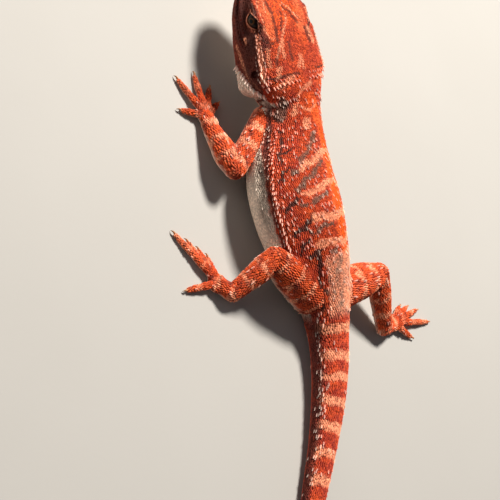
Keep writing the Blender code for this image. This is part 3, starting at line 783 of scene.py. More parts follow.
# Strokes: from (along, degrees) to (along, degrees), half width in millimetres
PALE_STROKES = (
    (65, 33, 68, 36, 2.0), (71, 12, 74, 16, 1.8), (85.5, -12, 94, 24, 1.7),
    (95, 30, 97, 36, 1.0), (102.5, -16, 107, 26, 1.6), (107.5, 32, 108, 38, 0.9),
    (119.5, -14, 118.5, 32, 1.7), (133, -13, 129, 36, 1.7), (143, -13, 141, 16, 1.5),
    (155, -10, 153, 26, 1.8), (163, -7, 162, 30, 1.6),
)
GREY_STROKES = (
    (61.5, 50, 69, 64, 3.4), (76.5, 2, 84, 15, 1.1), (86, 20, 93.5, 34, 1.3),
    (91.5, 2, 100, 22, 1.1), (101, 28, 106, 42, 1.2), (98, 43, 99, 46, 1.3),
    (109.5, 7, 111.5, 27, 1.2), (112, 36, 112, 42, 1.0), (122.5, 9, 123.5, 33, 1.2),
    (123, 40, 123, 46, 1.0), (134.5, 12, 135, 20, 1.4), (145.5, 14, 146, 24, 1.6),
    (151, 30, 152, 38, 1.5), (57, 90, 60, 112, 2.4),
)
# The dark stroke from (25, 41) under the brow's overhang behind the eye and the two from (133, 42) to
# (160, 53) in the groove beside the pelvis are painted shade.
DARK_STROKES = (
    (108.5, 45, 112.5, 64, 0.8), (117, 32, 123, 62, 0.8), (77, 63, 94, 61, 0.7),
    (131.5, 34, 133, 52, 0.8), (150.5, 44, 151, 60, 0.9), (96, 50, 101, 64, 0.7),
    (86, 44, 90, 60, 0.7), (126, 48, 130, 62, 0.7), (58, 84, 58.8, 118, 0.8),
    (50, 34, 49.5, 56, 0.5), (25, 41, 33, 39, 0.9), (133, 42, 147, 50, 1.3),
    (147, 50, 160, 53, 1.3),
)
NECK_PATCH = (61.5, 50, 69, 64, 3.2)
# Over degrees: the beard's row and the crease behind its fold. Over the length: the upper edge of
# the head's dark sides, which are partly their own dark red and partly painted shade.
BEARD_LINE = (
    (0, 62), (78, 60), (83, 55.5), (84, 52), (86, 49), (90, 45.5), (96, 42), (104, 39.5), (180, 32),
)
CREASE_LINE = ((0, 65), (72, 64.5), (86, 63.5), (112, 60.5), (119, 57), (180, 50))
SHADE_TOP = (
    (0, 52), (10, 46), (15, 40), (19, 38), (26, 40), (28, 46), (33.5, 51), (42.5, 56),
    (47, 59), (51, 65), (54, 72), (57, 84), (60, 120), (400, 200),
)
# On the head the degrees are the surface's own, with the left side positive. Past the last of
# these degrees, the right side has the left side's strokes.
OWN_TURNS = 42
# Of the pale strokes, those from (30.5, 92) to (52, 78) on the lower lip and the one at (28.5, 68) at
# the mouth's corner are painted highlights.
HEAD_PALE = (
    (13, 26, 20, 27, 0.35), (17.5, -4, 22, -4, 0.4), (22, -4, 26, 0, 0.45), (26, 0, 32, 14, 0.5),
    (17, -10, 22.5, -16, 0.45), (22.5, -16, 26, -22, 0.5), (30.5, -29, 38.5, -33, 1.0),
    (21.5, -39, 27.5, -36, 0.8), (32.4, 26, 32.4, 33, 0.4), (13, 36, 24, 35, 0.4),
    (24, 35, 32, 33, 0.4), (59, 24, 57, 9, 0.7), (57, 9, 55.5, -10, 0.7),
    (59, 24, 63.5, 27, 0.7), (63.5, 27, 66, 3, 0.7), (66, 3, 63.5, -15, 0.7),
    (33.5, 16, 41, 30, 0.7), (33.5, 16, 42, 21, 0.8), (42.5, -4, 47.5, 4, 0.8),
    (42.5, -4, 48.5, -4, 0.8), (29, 48, 36, 51, 1.3), (36, 51, 49, 57, 1.6),
    (36.5, 40, 44.5, 42, 0.9), (52, 18, 54.5, 44, 1.3), (30.5, 92, 38, 87, 1.2),
    (38, 87, 52, 78, 1.4), (28.5, 68, 31, 69, 0.8), (7, 10, 11, 18, 0.8), (46, 31, 50, 38, 1.0),
)
HEAD_DARK = (
    (15, 22, 20.5, 19, 0.75), (20.5, 20, 27, 20, 0.8), (27, 20, 34, 24, 0.8),
    (34.2, 25, 34.4, 34, 0.5), (26, 38.5, 35, 38, 1.1), (29, 42, 35.5, 42, 0.9),
    (21, 3, 25.5, 7, 0.6), (25.5, 7, 30, 14, 0.6), (19, -7, 22.5, -12, 0.6),
    (22.5, -12, 27.5, -16, 0.7), (30.5, -24, 38, -27, 0.7), (34, 45, 44, 48, 0.6),
    (50.5, 6, 50.5, 40, 0.8), (36, 8, 44, 12, 0.6), (36, 22, 44, 34, 0.6),
)
HEAD_GLOW = (14, 29, 31, 29.5, 1.75)
# Where the tail's pale rings lie
TAIL_BARS = [158.5, 171.5, 185.5, 195.5, 207, 219, 232, 244.5]
TAIL_BARS += list(np.arange(257, 385, 12.2))


def from_midline(turn, middle):
    """Degrees from the markings' midline on the left, stretched to leave the fringe where it is."""
    return (turn - middle) / (FRINGE_TURN - middle) * FRINGE_TURN


def folded(place):
    """Degrees from the markings' midline, the same on both sides, with 74 at the fringe."""
    turn = place.degrees()
    middle = from_table(place.along, MIDLINE)
    right = (middle - turn) / (middle + FRINGE_TURN) * FRINGE_TURN
    side = np.where(turn >= middle, from_midline(turn, middle), right)
    return np.where(np.abs(turn) > FRINGE_TURN, np.abs(turn), np.clip(side, 0, FRINGE_TURN))


waves = rng.normal(size=(9, 3))
phases = rng.uniform(0, 2 * math.pi, 9)


def ripple(points, size):
    """A smooth random height between about -1 and 1, with bumps of the given size."""
    return np.sin(points @ waves.T * (3.2 / size) + phases).mean(axis=1) * 1.8


def stroke(along, around, mark, per_degree, fold=True):
    """1 inside a stroke and 0 outside it, on the unrolled skin."""
    a0, t0, a1, t1, half = mark
    if fold and (a0 > NAPE or t0 < 60):
        middles = from_table([a0, a1], MIDLINE)
        t0, t1 = (
            max(from_midline(turn, middle), 0) if turn < FRINGE_TURN else turn
            for turn, middle in zip((t0, t1), middles)
        )
    start = np.array([a0, t0 * per_degree])
    run = np.array([a1, t1 * per_degree]) - start
    here = np.stack([along, around * per_degree], axis=1) - start
    share = np.clip(here @ run / max(run @ run, 1e-6), 0, 1)
    away = np.linalg.norm(here - share[:, None] * run, axis=1)
    return 1 - ease(away, half * 0.6, half * 1.35)


def strokes(along, around, marks, per_degree, fold=True):
    reach = 6
    found = np.zeros(len(along))
    for mark in marks:
        near = (along > min(mark[0], mark[2]) - reach) & (along < max(mark[0], mark[2]) + reach)
        inside = stroke(along[near], around[near], mark, per_degree, fold)
        found[near] = np.maximum(found[near], inside)
    return found


def head_strokes(place, wobble):
    """The pale lines and dark grooves of the head, and the degrees that they are drawn in."""
    turn = place.degrees()
    turn = np.where(turn < -OWN_TURNS, -turn, turn) + 1.5 * ripple(place.points + 40, 4.0)
    along = place.along + 0.5 * wobble
    both = (strokes(along, turn, marks, HEAD_DEGREE, fold=False) for marks in (HEAD_PALE, HEAD_DARK))
    return *both, turn


def tone_of(place, phi, own_turn, glow, parts):
    """How far the red turns to orange."""
    head, trunk, tail, strip = parts
    turn = np.abs(place.degrees())
    crown = (1 - ease(phi, 18, 34)) * bump(place.along, 18, 11)
    tone = 0.34 + 0.6 * strip + 0.32 * crown + 0.38 * glow + 0.22 * ripple(place.points + 90, 5.0)
    tone = tone - 0.04 * head
    tone = tone + 0.2 * bump(turn, 75, 6) * trunk - 0.12 * tail - 0.15 * tail * ease(turn, 40, 75)
    tone = tone + 0.25 * bump(place.along, 53, 4) * bump(phi, 44, 12)
    tone = tone + 0.3 * bump(place.along, 61, 4) * bump(own_turn, 6, 14)
    return tone - 0.12 * ease(phi, 35, 70) * trunk


def trunk_marks(place):
    """Pale, grey, dark, belly and tone on head, body and tail. The dark includes painted shade, and the
    pale some painted highlights.
    """
    wobble = ripple(place.points, 5.0)
    along = place.along + 1.1 * wobble
    phi = folded(place) + 3.0 * ripple(place.points + 40, 4.0)
    turn = np.abs(place.degrees())
    head = 1 - ease(place.along, NAPE + 1, NAPE + 6)
    tail = ease(place.along, 158, 170)
    trunk = (1 - head) * (1 - tail)
    # The strokes, and the grey patch on the side of the neck
    on_head, groove, own_turn = head_strokes(place, wobble)
    glow = stroke(place.along, phi, HEAD_GLOW, HEAD_DEGREE)
    pale = strokes(along, phi, PALE_STROKES, BODY_DEGREE) * (1 - head)
    pale = np.maximum(pale, np.maximum(on_head * 0.68, glow * 0.17))
    grey = strokes(along, phi, GREY_STROKES, BODY_DEGREE) * 0.9
    dark = np.maximum(strokes(along, phi, DARK_STROKES, BODY_DEGREE), 0.8 * groove)
    patch = stroke(along, phi, NECK_PATCH, BODY_DEGREE)
    dark = np.maximum(dark, patch * (0.5 + 0.3 * wobble))
    pale = pale * (1 - patch)
    # The tail's rings and its dark sides, partly their own darker red and partly painted shade
    ring = np.interp(along, TAIL_BARS, np.arange(len(TAIL_BARS)))
    ring = 0.5 + 0.5 * np.cos(2 * math.pi * ring)
    shape = ease(ring, 0.5, 0.85) * (1 - ease(phi, 50, 84))
    pale = np.maximum(pale, shape * tail * 0.9)
    side_row = ease(phi, 56, 74) * (1 - ease(turn, 110, 130)) * tail
    dark = np.maximum(dark, side_row * (0.8 + 0.2 * wobble))
    # The dark band under the fringe, partly its own colour and partly painted shade from the fringe,
    # and the grey patches on the flank
    ahead = 1 - ease(place.along, 84, 98)
    flank = ease(phi, 76, 79) * (1 - ease(phi, 81 + 7 * ahead, 84 + 9 * ahead)) * trunk
    dark = np.maximum(dark, 0.8 * flank)
    patch = bump(place.along, 97, 11) * bump(turn, 92, 8)
    patch = patch + 0.6 * bump(place.along, 114, 5) * bump(turn, 97, 7)
    grey = np.maximum(grey, patch * trunk * (0.85 + 0.5 * wobble))
    dark = np.maximum(dark, patch * trunk * (0.45 + 0.5 * wobble))
    # The head's dark sides (their own dark red and painted shade), the lids and the mouth line
    row = from_table(turn, BEARD_LINE)
    crease = from_table(turn, CREASE_LINE)
    top = from_table(place.along, SHADE_TOP)
    side = ease(turn, top - 1, top + 3) * (1 - ease(place.along, row - 0.6, row + 0.8))
    jaw = ease(turn, 80, 88)
    shade = side * (0.97 - 0.22 * jaw + 0.08 * wobble)
    dark = np.maximum(dark, shade * (1 - ease(turn, 118, 140)))
    # Pale strokes fade in the painted shade, except the painted highlights on the lips and at the
    # mouth's corner
    pale = pale * (1 - side * (1 - jaw) * (1 - ease(place.along, 27, 28) * bump(turn, 69, 7)))
    # The lids' rims turn pale: partly their own pale scales and partly a painted highlight on their
    # edge
    rim, lower = lid_marks(place.points)
    dark = dark * (1 - np.maximum(rim, 0.6 * lower))
    pale = np.maximum(pale, np.maximum(0.85 * rim, 0.3 * lower))
    mouth = (place.along < MOUTH_END) & (np.abs(turn - mouth_turn(place.along)) < 2.2)
    dark = np.where(mouth, 0.9, dark)
    # The pale belly, throat and fold behind the beard, and the fold's crease, darkened as painted shade
    belly = ease(turn + 3 * wobble, 82 + 6 * ahead, 88 + 9 * ahead) * trunk
    belly = np.maximum(belly, ease(turn, 112, 134) * head * 0.8)
    behind = ease(place.along, row + 0.2, row + 1.6) * ease(turn, 64, 72)
    fold = behind * (1 - ease(place.along, crease - 0.8, crease + 0.2))
    neck = behind * (1 - ease(place.along, crease + 2, crease + 7)) * ease(turn, 72, 84)
    belly = np.maximum(belly, np.maximum(fold, 0.45 * neck))
    grey = np.maximum(grey, 0.12 * fold)
    dark = np.maximum(dark, 0.95 * bump(place.along, crease, 0.8) * ease(turn, 64, 72))
    belly = np.maximum(belly, ease(turn, 122, 150) * tail * 0.35)
    # The mottled pelvis
    pelvis = ease(along, 135, 139) * (1 - ease(along, 160, 168)) * (1 - ease(phi, 36, 42))
    cloud = ripple(place.points + 150, 4.5)
    speckle = ripple(place.points + 170, 1.6)
    grey = np.maximum(grey * (1 - pelvis), pelvis * bump(phi, 16, 12) * (0.35 + 0.6 * cloud))
    pinkish = pelvis * (0.84 + 0.4 * speckle - 0.3 * cloud) * (1 - 0.7 * grey)
    pale = np.maximum(pale * (1 - pelvis), pinkish)
    belly = np.maximum(belly, pelvis * (0.38 + 0.3 * speckle + 0.2 * cloud))
    # The plain orange strip along the back
    strip = (1 - ease(phi, 9, 14)) * trunk * (1 - ease(place.along, 136, 148))
    tone = tone_of(place, phi, own_turn, glow, (head, trunk, tail, strip))
    return pale, grey * (1 - strip), dark, belly, tone


def lid_marks(points):
    """How much each point is on the rims of the lids, and on the lower lid."""
    rim = np.zeros(len(points))
    lower = np.zeros(len(points))
    for side in SIDES:
        distance, way, open_by = seen_from_eye(points, side)
        near = distance < EYE_RADIUS + 1.8
        below = 1 - ease(way[near] @ eye_frame(side)[2], 0.35, 0.6)
        rim[near] = bump(open_by[near], 1.14, 0.11)
        lower[near] = bump(open_by[near], 1.45, 0.3) * below
    return rim, lower


def rim_scales():
    """A bead-like row of small scales along the edge of each lid."""
    angle = np.linspace(0, 2 * math.pi, RIM_BEADS, endpoint=False)
    points, ways, backs = [], [], []
    for side in SIDES:
        centre, onward, up, out = eye_frame(side)
        tilt = math.radians(SLIT_TILT)
        across = EYE_SLIT[0] * 1.06 * np.cos(angle)
        over = slit_height(across) * 1.08 * np.sin(angle)
        along_angle = across * math.cos(tilt) - over * math.sin(tilt)
        up_angle = across * math.sin(tilt) + over * math.cos(tilt) + SLIT_LIFT
        slopes = [np.tan(np.radians(np.clip(a, -80, 80)))[:, None] for a in (along_angle, up_angle)]
        way = unit(out + onward * slopes[0] + up * slopes[1])
        onto = np.roll(way, -1, axis=0) - np.roll(way, 1, axis=0)
        points.append(centre + way * (EYE_RADIUS + LID_RISE - 0.1))
        ways.append(way)
        backs.append(laid(onto, way))
    place = nearest_place(np.vstack(points), np.vstack(ways))
    place.back = np.vstack(backs)
    return place


def limb_marks(place):
    """The same on the limbs: mottling, bars and pale undersides, and yellowish toes."""
    starts = np.array([part["start"] for part in PARTS])[place.part]
    fore = np.array(["arm" in part["name"] for part in PARTS])[place.part]
    digit = KIND[place.part] == "digit"
    along = place.along + starts
    spots = ripple(place.points + 200, 3.4)
    bars = np.sin(2 * math.pi * (along + 1.5 * spots) / 9.5)
    pale = ease(bars + 0.6 * spots, 0.35, 0.95) * 0.85
    under = ease(-place.normal[:, 2] + 0.15 * spots, 0.05, 0.65)
    front = ease(place.normal[:, 1], 0.45, 0.9) * (1 - ease(place.normal[:, 2], 0.45, 0.8))
    belly = np.maximum(under * 0.7, front * (along < 32) * fore * 0.75)
    dark = ease(-spots, 0.35, 1.1) * 0.65
    grey = ease(ripple(place.points + 300, 3.0), 0.7, 1.2) * 0.5
    tone = 0.5 + 0.22 * spots + 0.3 * digit * ease(place.along, 8, 20)
    pale = np.where(digit, pale * 0.5 + 0.25 * ease(place.along, 10, 24), pale)
    return pale, grey, dark, belly, tone


def colours(place):
    """Both colour attributes for points: marks and ground."""
    kinds = KIND[place.part]
    made = np.zeros((len(place.points), 5))
    for chosen, paint in ((kinds == "trunk", trunk_marks), (kinds != "trunk", limb_marks)):
        if chosen.any():
            made[chosen] = np.stack(paint(place.pick(chosen)), axis=1)
    made = np.clip(made, 0, 1)
    return made[:, :3], made[:, 3:]


# Scales

# A keeled scale: across and back in shares of its size, then its sink, rise and lift
RIM = (
    (0.0, -0.52, 1.0, 0.0, 0.0), (0.38, -0.34, 1.0, 0.0, 0.0), (0.5, 0.04, 0.75, 0.0, 0.1),
    (0.33, 0.38, 0.2, 0.0, 0.5), (0.0, 0.64, 0.0, 0.0, 1.0), (-0.33, 0.38, 0.2, 0.0, 0.5),
    (-0.5, 0.04, 0.75, 0.0, 0.1), (-0.38, -0.34, 1.0, 0.0, 0.0),
    (0.0, 0.1, 0.0, 1.0, 0.0), (0.0, 0.05, 1.4, 0.0, 0.0),
)
RIM_COUNT = 8
TIP, APEX, UNDER = 4, 8, 9
SINK = 0.22
PATCH = 0.003  # each scale's and spine's size on the unwrap
# Widths: along the tail, and on hands, feet and digits
TAIL_WIDTHS = ((170, 1.3), (200, 1.15), (260, 0.95), (330, 0.8), (385, 0.6))
SMALL_WIDTHS = {"digit": 0.86, "wrist": 0.95}
# Spacing as a share of the width, for rows and for the fill of bare places
ROW_SPACING = 0.54
FILL_SPACING = 0.64
FILL = 160000
EYE_FILL = 12000
EYE_FILL_REACH = 1.9  # in radii of the eye
# The lids' rows of beads: how many, and each one's width, length, rise, lift and whiteness
RIM_BEADS = 64
BEAD = (0.66, 0.72, 0.24, 0.0, 0.3)
# Larger plates: on the lips by degrees from the mouth line, and on the brows by degrees.
# Each: degrees, width
LIP_PLATES = ((-5.2, 1.5), (5.2, 1.4))
BROW_PLATES = ((43.0, 1.15), (48.5, 1.05))
# How far roots may move onto the skin, for plates and for rows
PLATE_REACH = 2.0
ROW_REACH = 1.3
# Scales stay off the lids' opening within this distance, off the ears and nostrils by this share
# of their radius, and off the mouth line by these degrees
OPENING_EDGE = 1.1
OPENING_REACH = 7.0
PIT_EDGE = 0.95
MOUTH_EDGE = 1.8
NEIGHBOURS = [(i, j, k) for i in (-1, 0, 1) for j in (-1, 0, 1) for k in (-1, 0, 1)]


def scale_faces():
    ring = [(i, (i + 1) % RIM_COUNT) for i in range(RIM_COUNT)]
    return np.array([(APEX, b, a) for a, b in ring] + [(UNDER, a, b) for a, b in ring])


class Scales:
    """Roots of scales with the size of each: width, length, rise of the keel, lift of the tip."""

    def __init__(self, place, width, length, rise, lift, spiny):
        self.place = place
        sizes = (width, length, rise, lift, spiny)
        self.sizes = np.stack([np.broadcast_to(size, place.along.shape) for size in sizes], axis=1)

    def pick(self, keep):
        return Scales(self.place.pick(keep), *self.sizes[keep].T)


def rows_on(number):
    """Roots in staggered rows around a part, spaced by the width that scales have there."""
    loft = PARTS[number]["loft"]
    alongs, turns = [], []
    along, end, step, odd = 0.8, loft.length - 0.4, 0.72, 0.0
    circle = np.radians(np.linspace(-180, 180, 121))
    while along < end:
        ring = loft.points(along, circle, -COAT)
        width = width_on(number, np.full(len(circle), along), np.abs(np.degrees(circle)))
        steps = np.linalg.norm(np.diff(ring, axis=0), axis=1) / ((width[1:] + width[:-1]) / 2)
        total = np.concatenate([[0], np.cumsum(steps)])
        count = max(5, round(total[-1]))
        at = np.arange(count) + 0.25 + odd + rng.uniform(-0.14, 0.14, count)
        turns.append(np.interp(at / count * total[-1], total, circle))
        alongs.append(along + rng.uniform(-0.13, 0.13, count) * width.mean())
        along += step * width.mean()
        odd = 0.5 - odd
    return place_on(number, np.concatenate(alongs), np.concatenate(turns))


def trunk_width(along, turn):
    """How wide scales are on head, body and tail."""
    crown = 0.74 + 0.16 * bump(along, 22, 12) * bump(turn, 0, 40)
    head = crown - 0.16 * bump(turn, 70, 16) - 0.08 * bump(along, 4, 6)
    back = 0.95 - 0.1 * bump(turn, 84, 10)
    trunk = back + 0.1 * ease(turn, 96, 112)
    tail = from_table(along, TAIL_WIDTHS)
    at_body = ease(along, NAPE - 2, NAPE + 8)
    at_tail = ease(along, 150, 175)
    return head * (1 - at_body) + trunk * at_body * (1 - at_tail) + tail * at_tail


def width_on(number, along, turn):
    """How wide scales are on a part."""
    if number == 0:
        return trunk_width(along, turn)
    small = SMALL_WIDTHS.get(PARTS[number]["kind"][:5])
    return np.full(len(along), small) if small else 1.2 - 0.1 * ease(along, 15, 30)


def settle(place, skin_tree, reach):
    """Moves roots onto the skin, turns them with it and drops those with no skin near."""
    points, normals, keep = [], [], []
    for number, point in enumerate(place.points):
        found, normal, _, _ = skin_tree.find_nearest(point, reach)
        if found is None:
            continue
        points.append(found)
        normals.append(normal)
        keep.append(number)
    place = place.pick(np.array(keep))
    place.points, place.normal = np.array(points), np.array(normals)
    facing = (place.normal * known_normal(place)).sum(axis=1)
    place = place.pick(facing > 0.3)
    place.back = laid(place.back, place.normal)
    return place


def known_normal(place):
    made = np.zeros_like(place.points)
    for number in np.unique(place.part):
        here = place.part == number
        loft = PARTS[number]["loft"]
        made[here] = loft.frames(place.along[here], place.turn[here], -COAT)[1]
    return made


def thinned(points, spacing, grid):
    """The numbers of points that keep their spacing from all that the grid has, and from each other."""
    cell = 1.5
    keep = []
    keys = np.floor(points / cell).astype(int).tolist()
    for number, (point, space, key) in enumerate(zip(points.tolist(), spacing.tolist(), keys)):
        x, y, z = point
        limit = space * space
        cells = ((key[0] + i, key[1] + j, key[2] + k) for i, j, k in NEIGHBOURS)
        others = (other for near in cells for other in grid.get(near, ()))
        if any((a - x) ** 2 + (b - y) ** 2 + (c - z) ** 2 < limit for a, b, c in others):
            continue
        grid.setdefault(tuple(key), []).append((x, y, z))
        keep.append(number)
    return np.array(keep, int)


def shape_scales(place):
    """The size and shape that a scale has at its place."""
    turn = np.abs(place.degrees())
    trunk = KIND[place.part] == "trunk"
    along = place.along
    width = np.empty(len(along))
    for number in np.unique(place.part):
        here = place.part == number
        width[here] = width_on(number, along[here], turn[here])
    chance = rng.uniform(0, 1, len(along))
    head = trunk & (along < NAPE)
    phi = folded(place)
    smooth = np.where(trunk, ease(turn, 92, 106) * (along > 50) * (along < 168), 0.0)
    smooth = np.maximum(smooth, trunk * (1 - ease(phi, 6, 11)) * (along > 74) * (along < 150) * 0.7)
    smooth = np.maximum(smooth, head * (1 - ease(phi, 14, 30)) * (1 - ease(along, 22, 34)) * 0.6)
    rise = (0.38 + 0.1 * chance) * (1 - 0.62 * smooth)
    lift = (0.26 + 0.16 * chance) * (1 - 0.8 * smooth)
    rise = np.where(head, rise * 0.8, rise)
    lift = np.where(head, lift * 0.6, lift)
    spread = np.where(trunk, 0.065 * ease(along, NAPE - 4, NAPE + 6), 0.04) * (1 - smooth)
    on_side = trunk * (along > 160) * bump(turn, 66, 16)
    spread = spread * np.where(trunk & (along > 165), 0.35, 1.0) + 0.22 * on_side
    proud = (chance > 1 - spread) & (place.points[:, 2] > 2.5)
    eye_near = trunk * bump(along, EYE_AT["along"], 6.5) * bump(turn, 58, 13)
    digit = KIND[place.part] == "digit"
    size = np.where(proud, 1.25, 1.0) * rng.uniform(0.94, 1.08, len(along)) * (1 - 0.36 * eye_near)
    lift = lift * (1 - 0.7 * eye_near) * np.where(digit, 0.5, 1.0)
    width = width * size
    length = width * (1.3 - 0.16 * smooth) * np.where(proud, 1.15, 1.0)
    rise = np.where(proud, rise * 1.5, rise)
    lift = np.where(proud, lift + 0.4, lift)
    spiny = np.where(proud, 0.8, 0.1 * (1 - smooth))
    small = np.minimum(1.0, width)
    under = trunk * ease(turn, 88, 98) * (along > NAPE) * (along < 168)
    spread = np.where(head, 1.5, 1.14 + 0.2 * under)
    length = length * np.where(head, 1.3, 1.06 + 0.1 * under)
    return Scales(place, width * spread, length, rise * small, lift * small, spiny)


def large_plates():
    """Plates along both lips and larger plates over the eyes."""
    made = []
    lips = np.arange(0.8, MOUTH_END, 1.55)
    brow = np.arange(14.5, 31.0, 1.35)
    for side in SIDES:
        for offset, width in LIP_PLATES:
            place = place_on(0, lips, np.radians(side * (mouth_turn(lips) + offset)))
            made.append(Scales(place, width, 1.85, 0.24, 0.05, 0.0))
        for turn_at, width in BROW_PLATES:
            turn = np.radians(np.full(len(brow), side * turn_at))
            made.append(Scales(place_on(0, brow, turn), width, 1.8, 0.36, 0.2, 0.2))
    return made


def clear_of_holes(place):
    """False for roots on the eyes, in the ears and nostrils, and on the mouth line."""
    keep = np.ones(len(place.along), bool)
    for side in SIDES:
        distance, _, open_by = seen_from_eye(place.points, side)
        keep &= ~((distance < OPENING_REACH) & (open_by < OPENING_EDGE))
        for at, radius in ((EAR_AT, EAR_RADIUS), (NOSTRIL_AT, NOSTRIL_RADIUS)):
            middle = body.points(at[0], math.radians(at[1] * side), -COAT)
            keep &= np.linalg.norm(place.points - middle, axis=1) > radius * PIT_EDGE
    trunk = KIND[place.part] == "trunk"
    from_mouth = np.abs(np.abs(place.degrees()) - mouth_turn(place.along))
    keep &= ~(trunk & (place.along < MOUTH_END) & (from_mouth < MOUTH_EDGE))
    return keep


def fill_roots(verts, faces, count):
    """Random roots all over the skin, for the places that the rows leave bare."""
    corner = verts[faces]
    area = np.linalg.norm(np.cross(corner[:, 1] - corner[:, 0], corner[:, 2] - corner[:, 0]), axis=1)
    chosen = rng.choice(len(faces), count, p=area / area.sum())
    shares = rng.uniform(0, 1, (count, 2))
    shares = np.where(shares.sum(axis=1, keepdims=True) > 1, 1 - shares, shares)
    first, second, third = (corner[chosen, k] for k in range(3))
    points = first + (second - first) * shares[:, :1] + (third - first) * shares[:, 1:]
    normals = unit(np.cross(second - first, third - first))
    return nearest_place(points, normals)


def all_scales(verts, faces, skin_tree):
    """Every scale: the plates first, then the rows, then a fill of the bare places."""
    plates = []
    for plate in large_plates():
        found = settle(plate.place, skin_tree, PLATE_REACH)
        plates.append(Scales(found, *plate.sizes[0]))
    plates.append(Scales(rim_scales(), *BEAD))
    rows = merge([rows_on(number) for number in range(len(PARTS))])
    rows = settle(rows, skin_tree, ROW_REACH)
    rows = shape_scales(rows.pick(clear_of_holes(rows)))
    places = merge([p.place for p in plates] + [rows.place])
    sizes = np.vstack([p.sizes for p in plates] + [rows.sizes])
    grid = {}
    kept = thinned(places.points, sizes[:, 0] * ROW_SPACING, grid)
    corner = verts[faces[:, 0]]
    reach = EYE_RADIUS * EYE_FILL_REACH
    near = [np.linalg.norm(corner - eye_frame(side)[0], axis=1) < reach for side in SIDES]
    around_eyes = faces[near[0] | near[1]]
    fill = merge([fill_roots(verts, faces, FILL), fill_roots(verts, around_eyes, EYE_FILL)])
    fill = shape_scales(fill.pick(clear_of_holes(fill)))
    added = thinned(fill.place.points, fill.sizes[:, 0] * FILL_SPACING, grid)
    places = merge([places.pick(kept), fill.place.pick(added)])
    sizes = np.vstack([sizes[kept], fill.sizes[added]])
    return Scales(places, *sizes.T)


# The coat's unwrap: the skin's own shape unrolled in charts, so each scale keeps its own spot

# Charts of the trunk: from, to, size of a millimetre, middle across and lowest edge
TRUNK_CHARTS = (
    (0, 78, 0.0042, 0.28, 0.655),
    (78, TAIL_START, 0.0029, 0.24, 0.36),
    (TAIL_START, 400, 0.003, 0.68, 0.355),
)
PERIMETER_AT = np.arange(1.0, body.length, 2.0)


def perimeter(along):
    circle = np.linspace(-math.pi, math.pi, 73)
    return np.linalg.norm(np.diff(body.points(along, circle), axis=0), axis=1).sum()


PERIMETERS = np.array([perimeter(along) for along in PERIMETER_AT])


def unwrap(place):
    """The spot of each root on one unwrap that all the coat's pieces share."""
    spot = np.zeros((len(place.along), 2))
    share = ((place.turn / (2 * math.pi)) + 0.5) % 1.0
    trunk = KIND[place.part] == "trunk"
    around = np.interp(place.along, PERIMETER_AT, PERIMETERS)
    for low, high, scale, left, base in TRUNK_CHARTS:
        here = trunk & (place.along >= low) & (place.along < high)
        spot[here, 0] = left + (share[here] - 0.5) * around[here] * scale
        spot[here, 1] = base + (place.along[here] - low) * scale
    for number, part in enumerate(PARTS[1:], 1):
        here = place.part == number
        chart = list(LIMBS).index(part["name"])
        if part["kind"].startswith("digit"):
            cell = chart * 5 + int(part["kind"][5:])
            spot[here, 0] = 0.04 + 0.073 * (cell % 10) + (share[here] - 0.5) * 0.036
            spot[here, 1] = 0.02 + 0.165 * (cell // 10) + place.along[here] * 0.0038
        else:
            spot[here, 0] = 0.9 + (share[here] - 0.5) * 0.18
            spot[here, 1] = 0.01 + 0.245 * chart + (part["start"] + place.along[here]) * 0.0027
    return spot


def set_colours(mesh, name, *columns):
    """A colour on each vertex, from columns of red, green, blue and alpha."""
    layer = mesh.color_attributes.new(name, "FLOAT_COLOR", "POINT")
    values = np.column_stack(columns).astype(np.float32)
    layer.data.foreach_set("color", values.ravel())


def coat_piece(name, verts, faces, spots, marks, ground):
    """One joined piece of the coat, with its colours and its place on the unwrap."""
    verts, faces = verts.reshape(-1, 3), faces.reshape(-1, 3)
    verts[:, 2] = np.maximum(verts[:, 2], SCALE_FLOOR)
    piece = mesh_object(name, verts, faces, smooth=False)
    layer = piece.data.uv_layers.new(name="OFBake")
    layer.data.foreach_set("uv", spots.reshape(-1, 2)[faces.ravel()].astype(np.float32).ravel())
    set_colours(piece.data, "marks", marks)
    set_colours(piece.data, "ground", ground)
    return piece


def coat_colours(place, each, tips, white):
    """The colours of scales or spines with so many vertices each."""
    marks, ground = colours(place)
    chance = rng.uniform(0, 1, len(place.along))
    marks = np.repeat(np.column_stack([marks, chance]), each, axis=0)
    tips = np.tile(tips, len(place.along))
    ground = np.column_stack([np.repeat(ground, each, axis=0), tips, np.repeat(white, each)])
    return marks, ground


def scale_mesh(name, scales):
    """All the given scales as one mesh."""
    place, count = scales.place, len(scales.place.along)
    width, length, rise, lift, spiny = scales.sizes.T
    across = np.cross(place.back, place.normal)
    back = unit(place.back + across * 0.1 * rng.normal(size=(count, 1)))
    across = np.cross(back, place.normal)
    x, y, sunk, up, tip = np.array(RIM).T
    side = x[None, :] * width[:, None]
    along = y[None, :] * length[:, None]
    depth = -sunk[None, :] * SINK
    height = depth + up[None, :] * rise[:, None] + tip[None, :] * lift[:, None]
    verts = place.points[:, None] + across[:, None] * side[..., None]
    verts = verts + back[:, None] * along[..., None] + place.normal[:, None] * height[..., None]
    faces = scale_faces()[None] + np.arange(count)[:, None, None] * len(RIM)
    patch = np.stack([np.broadcast_to(x, side.shape), np.broadcast_to(y, side.shape)], axis=-1)
    spots = unwrap(place)[:, None] + patch * PATCH * 0.8
    # How far each vertex is towards the tip: it sets the painted highlight and the white of the tips
    tips = np.zeros(len(RIM))
    tips[[TIP, APEX]] = 1.0, 0.6
    return coat_piece(name, verts, faces, spots, *coat_colours(place, len(RIM), tips, spiny))


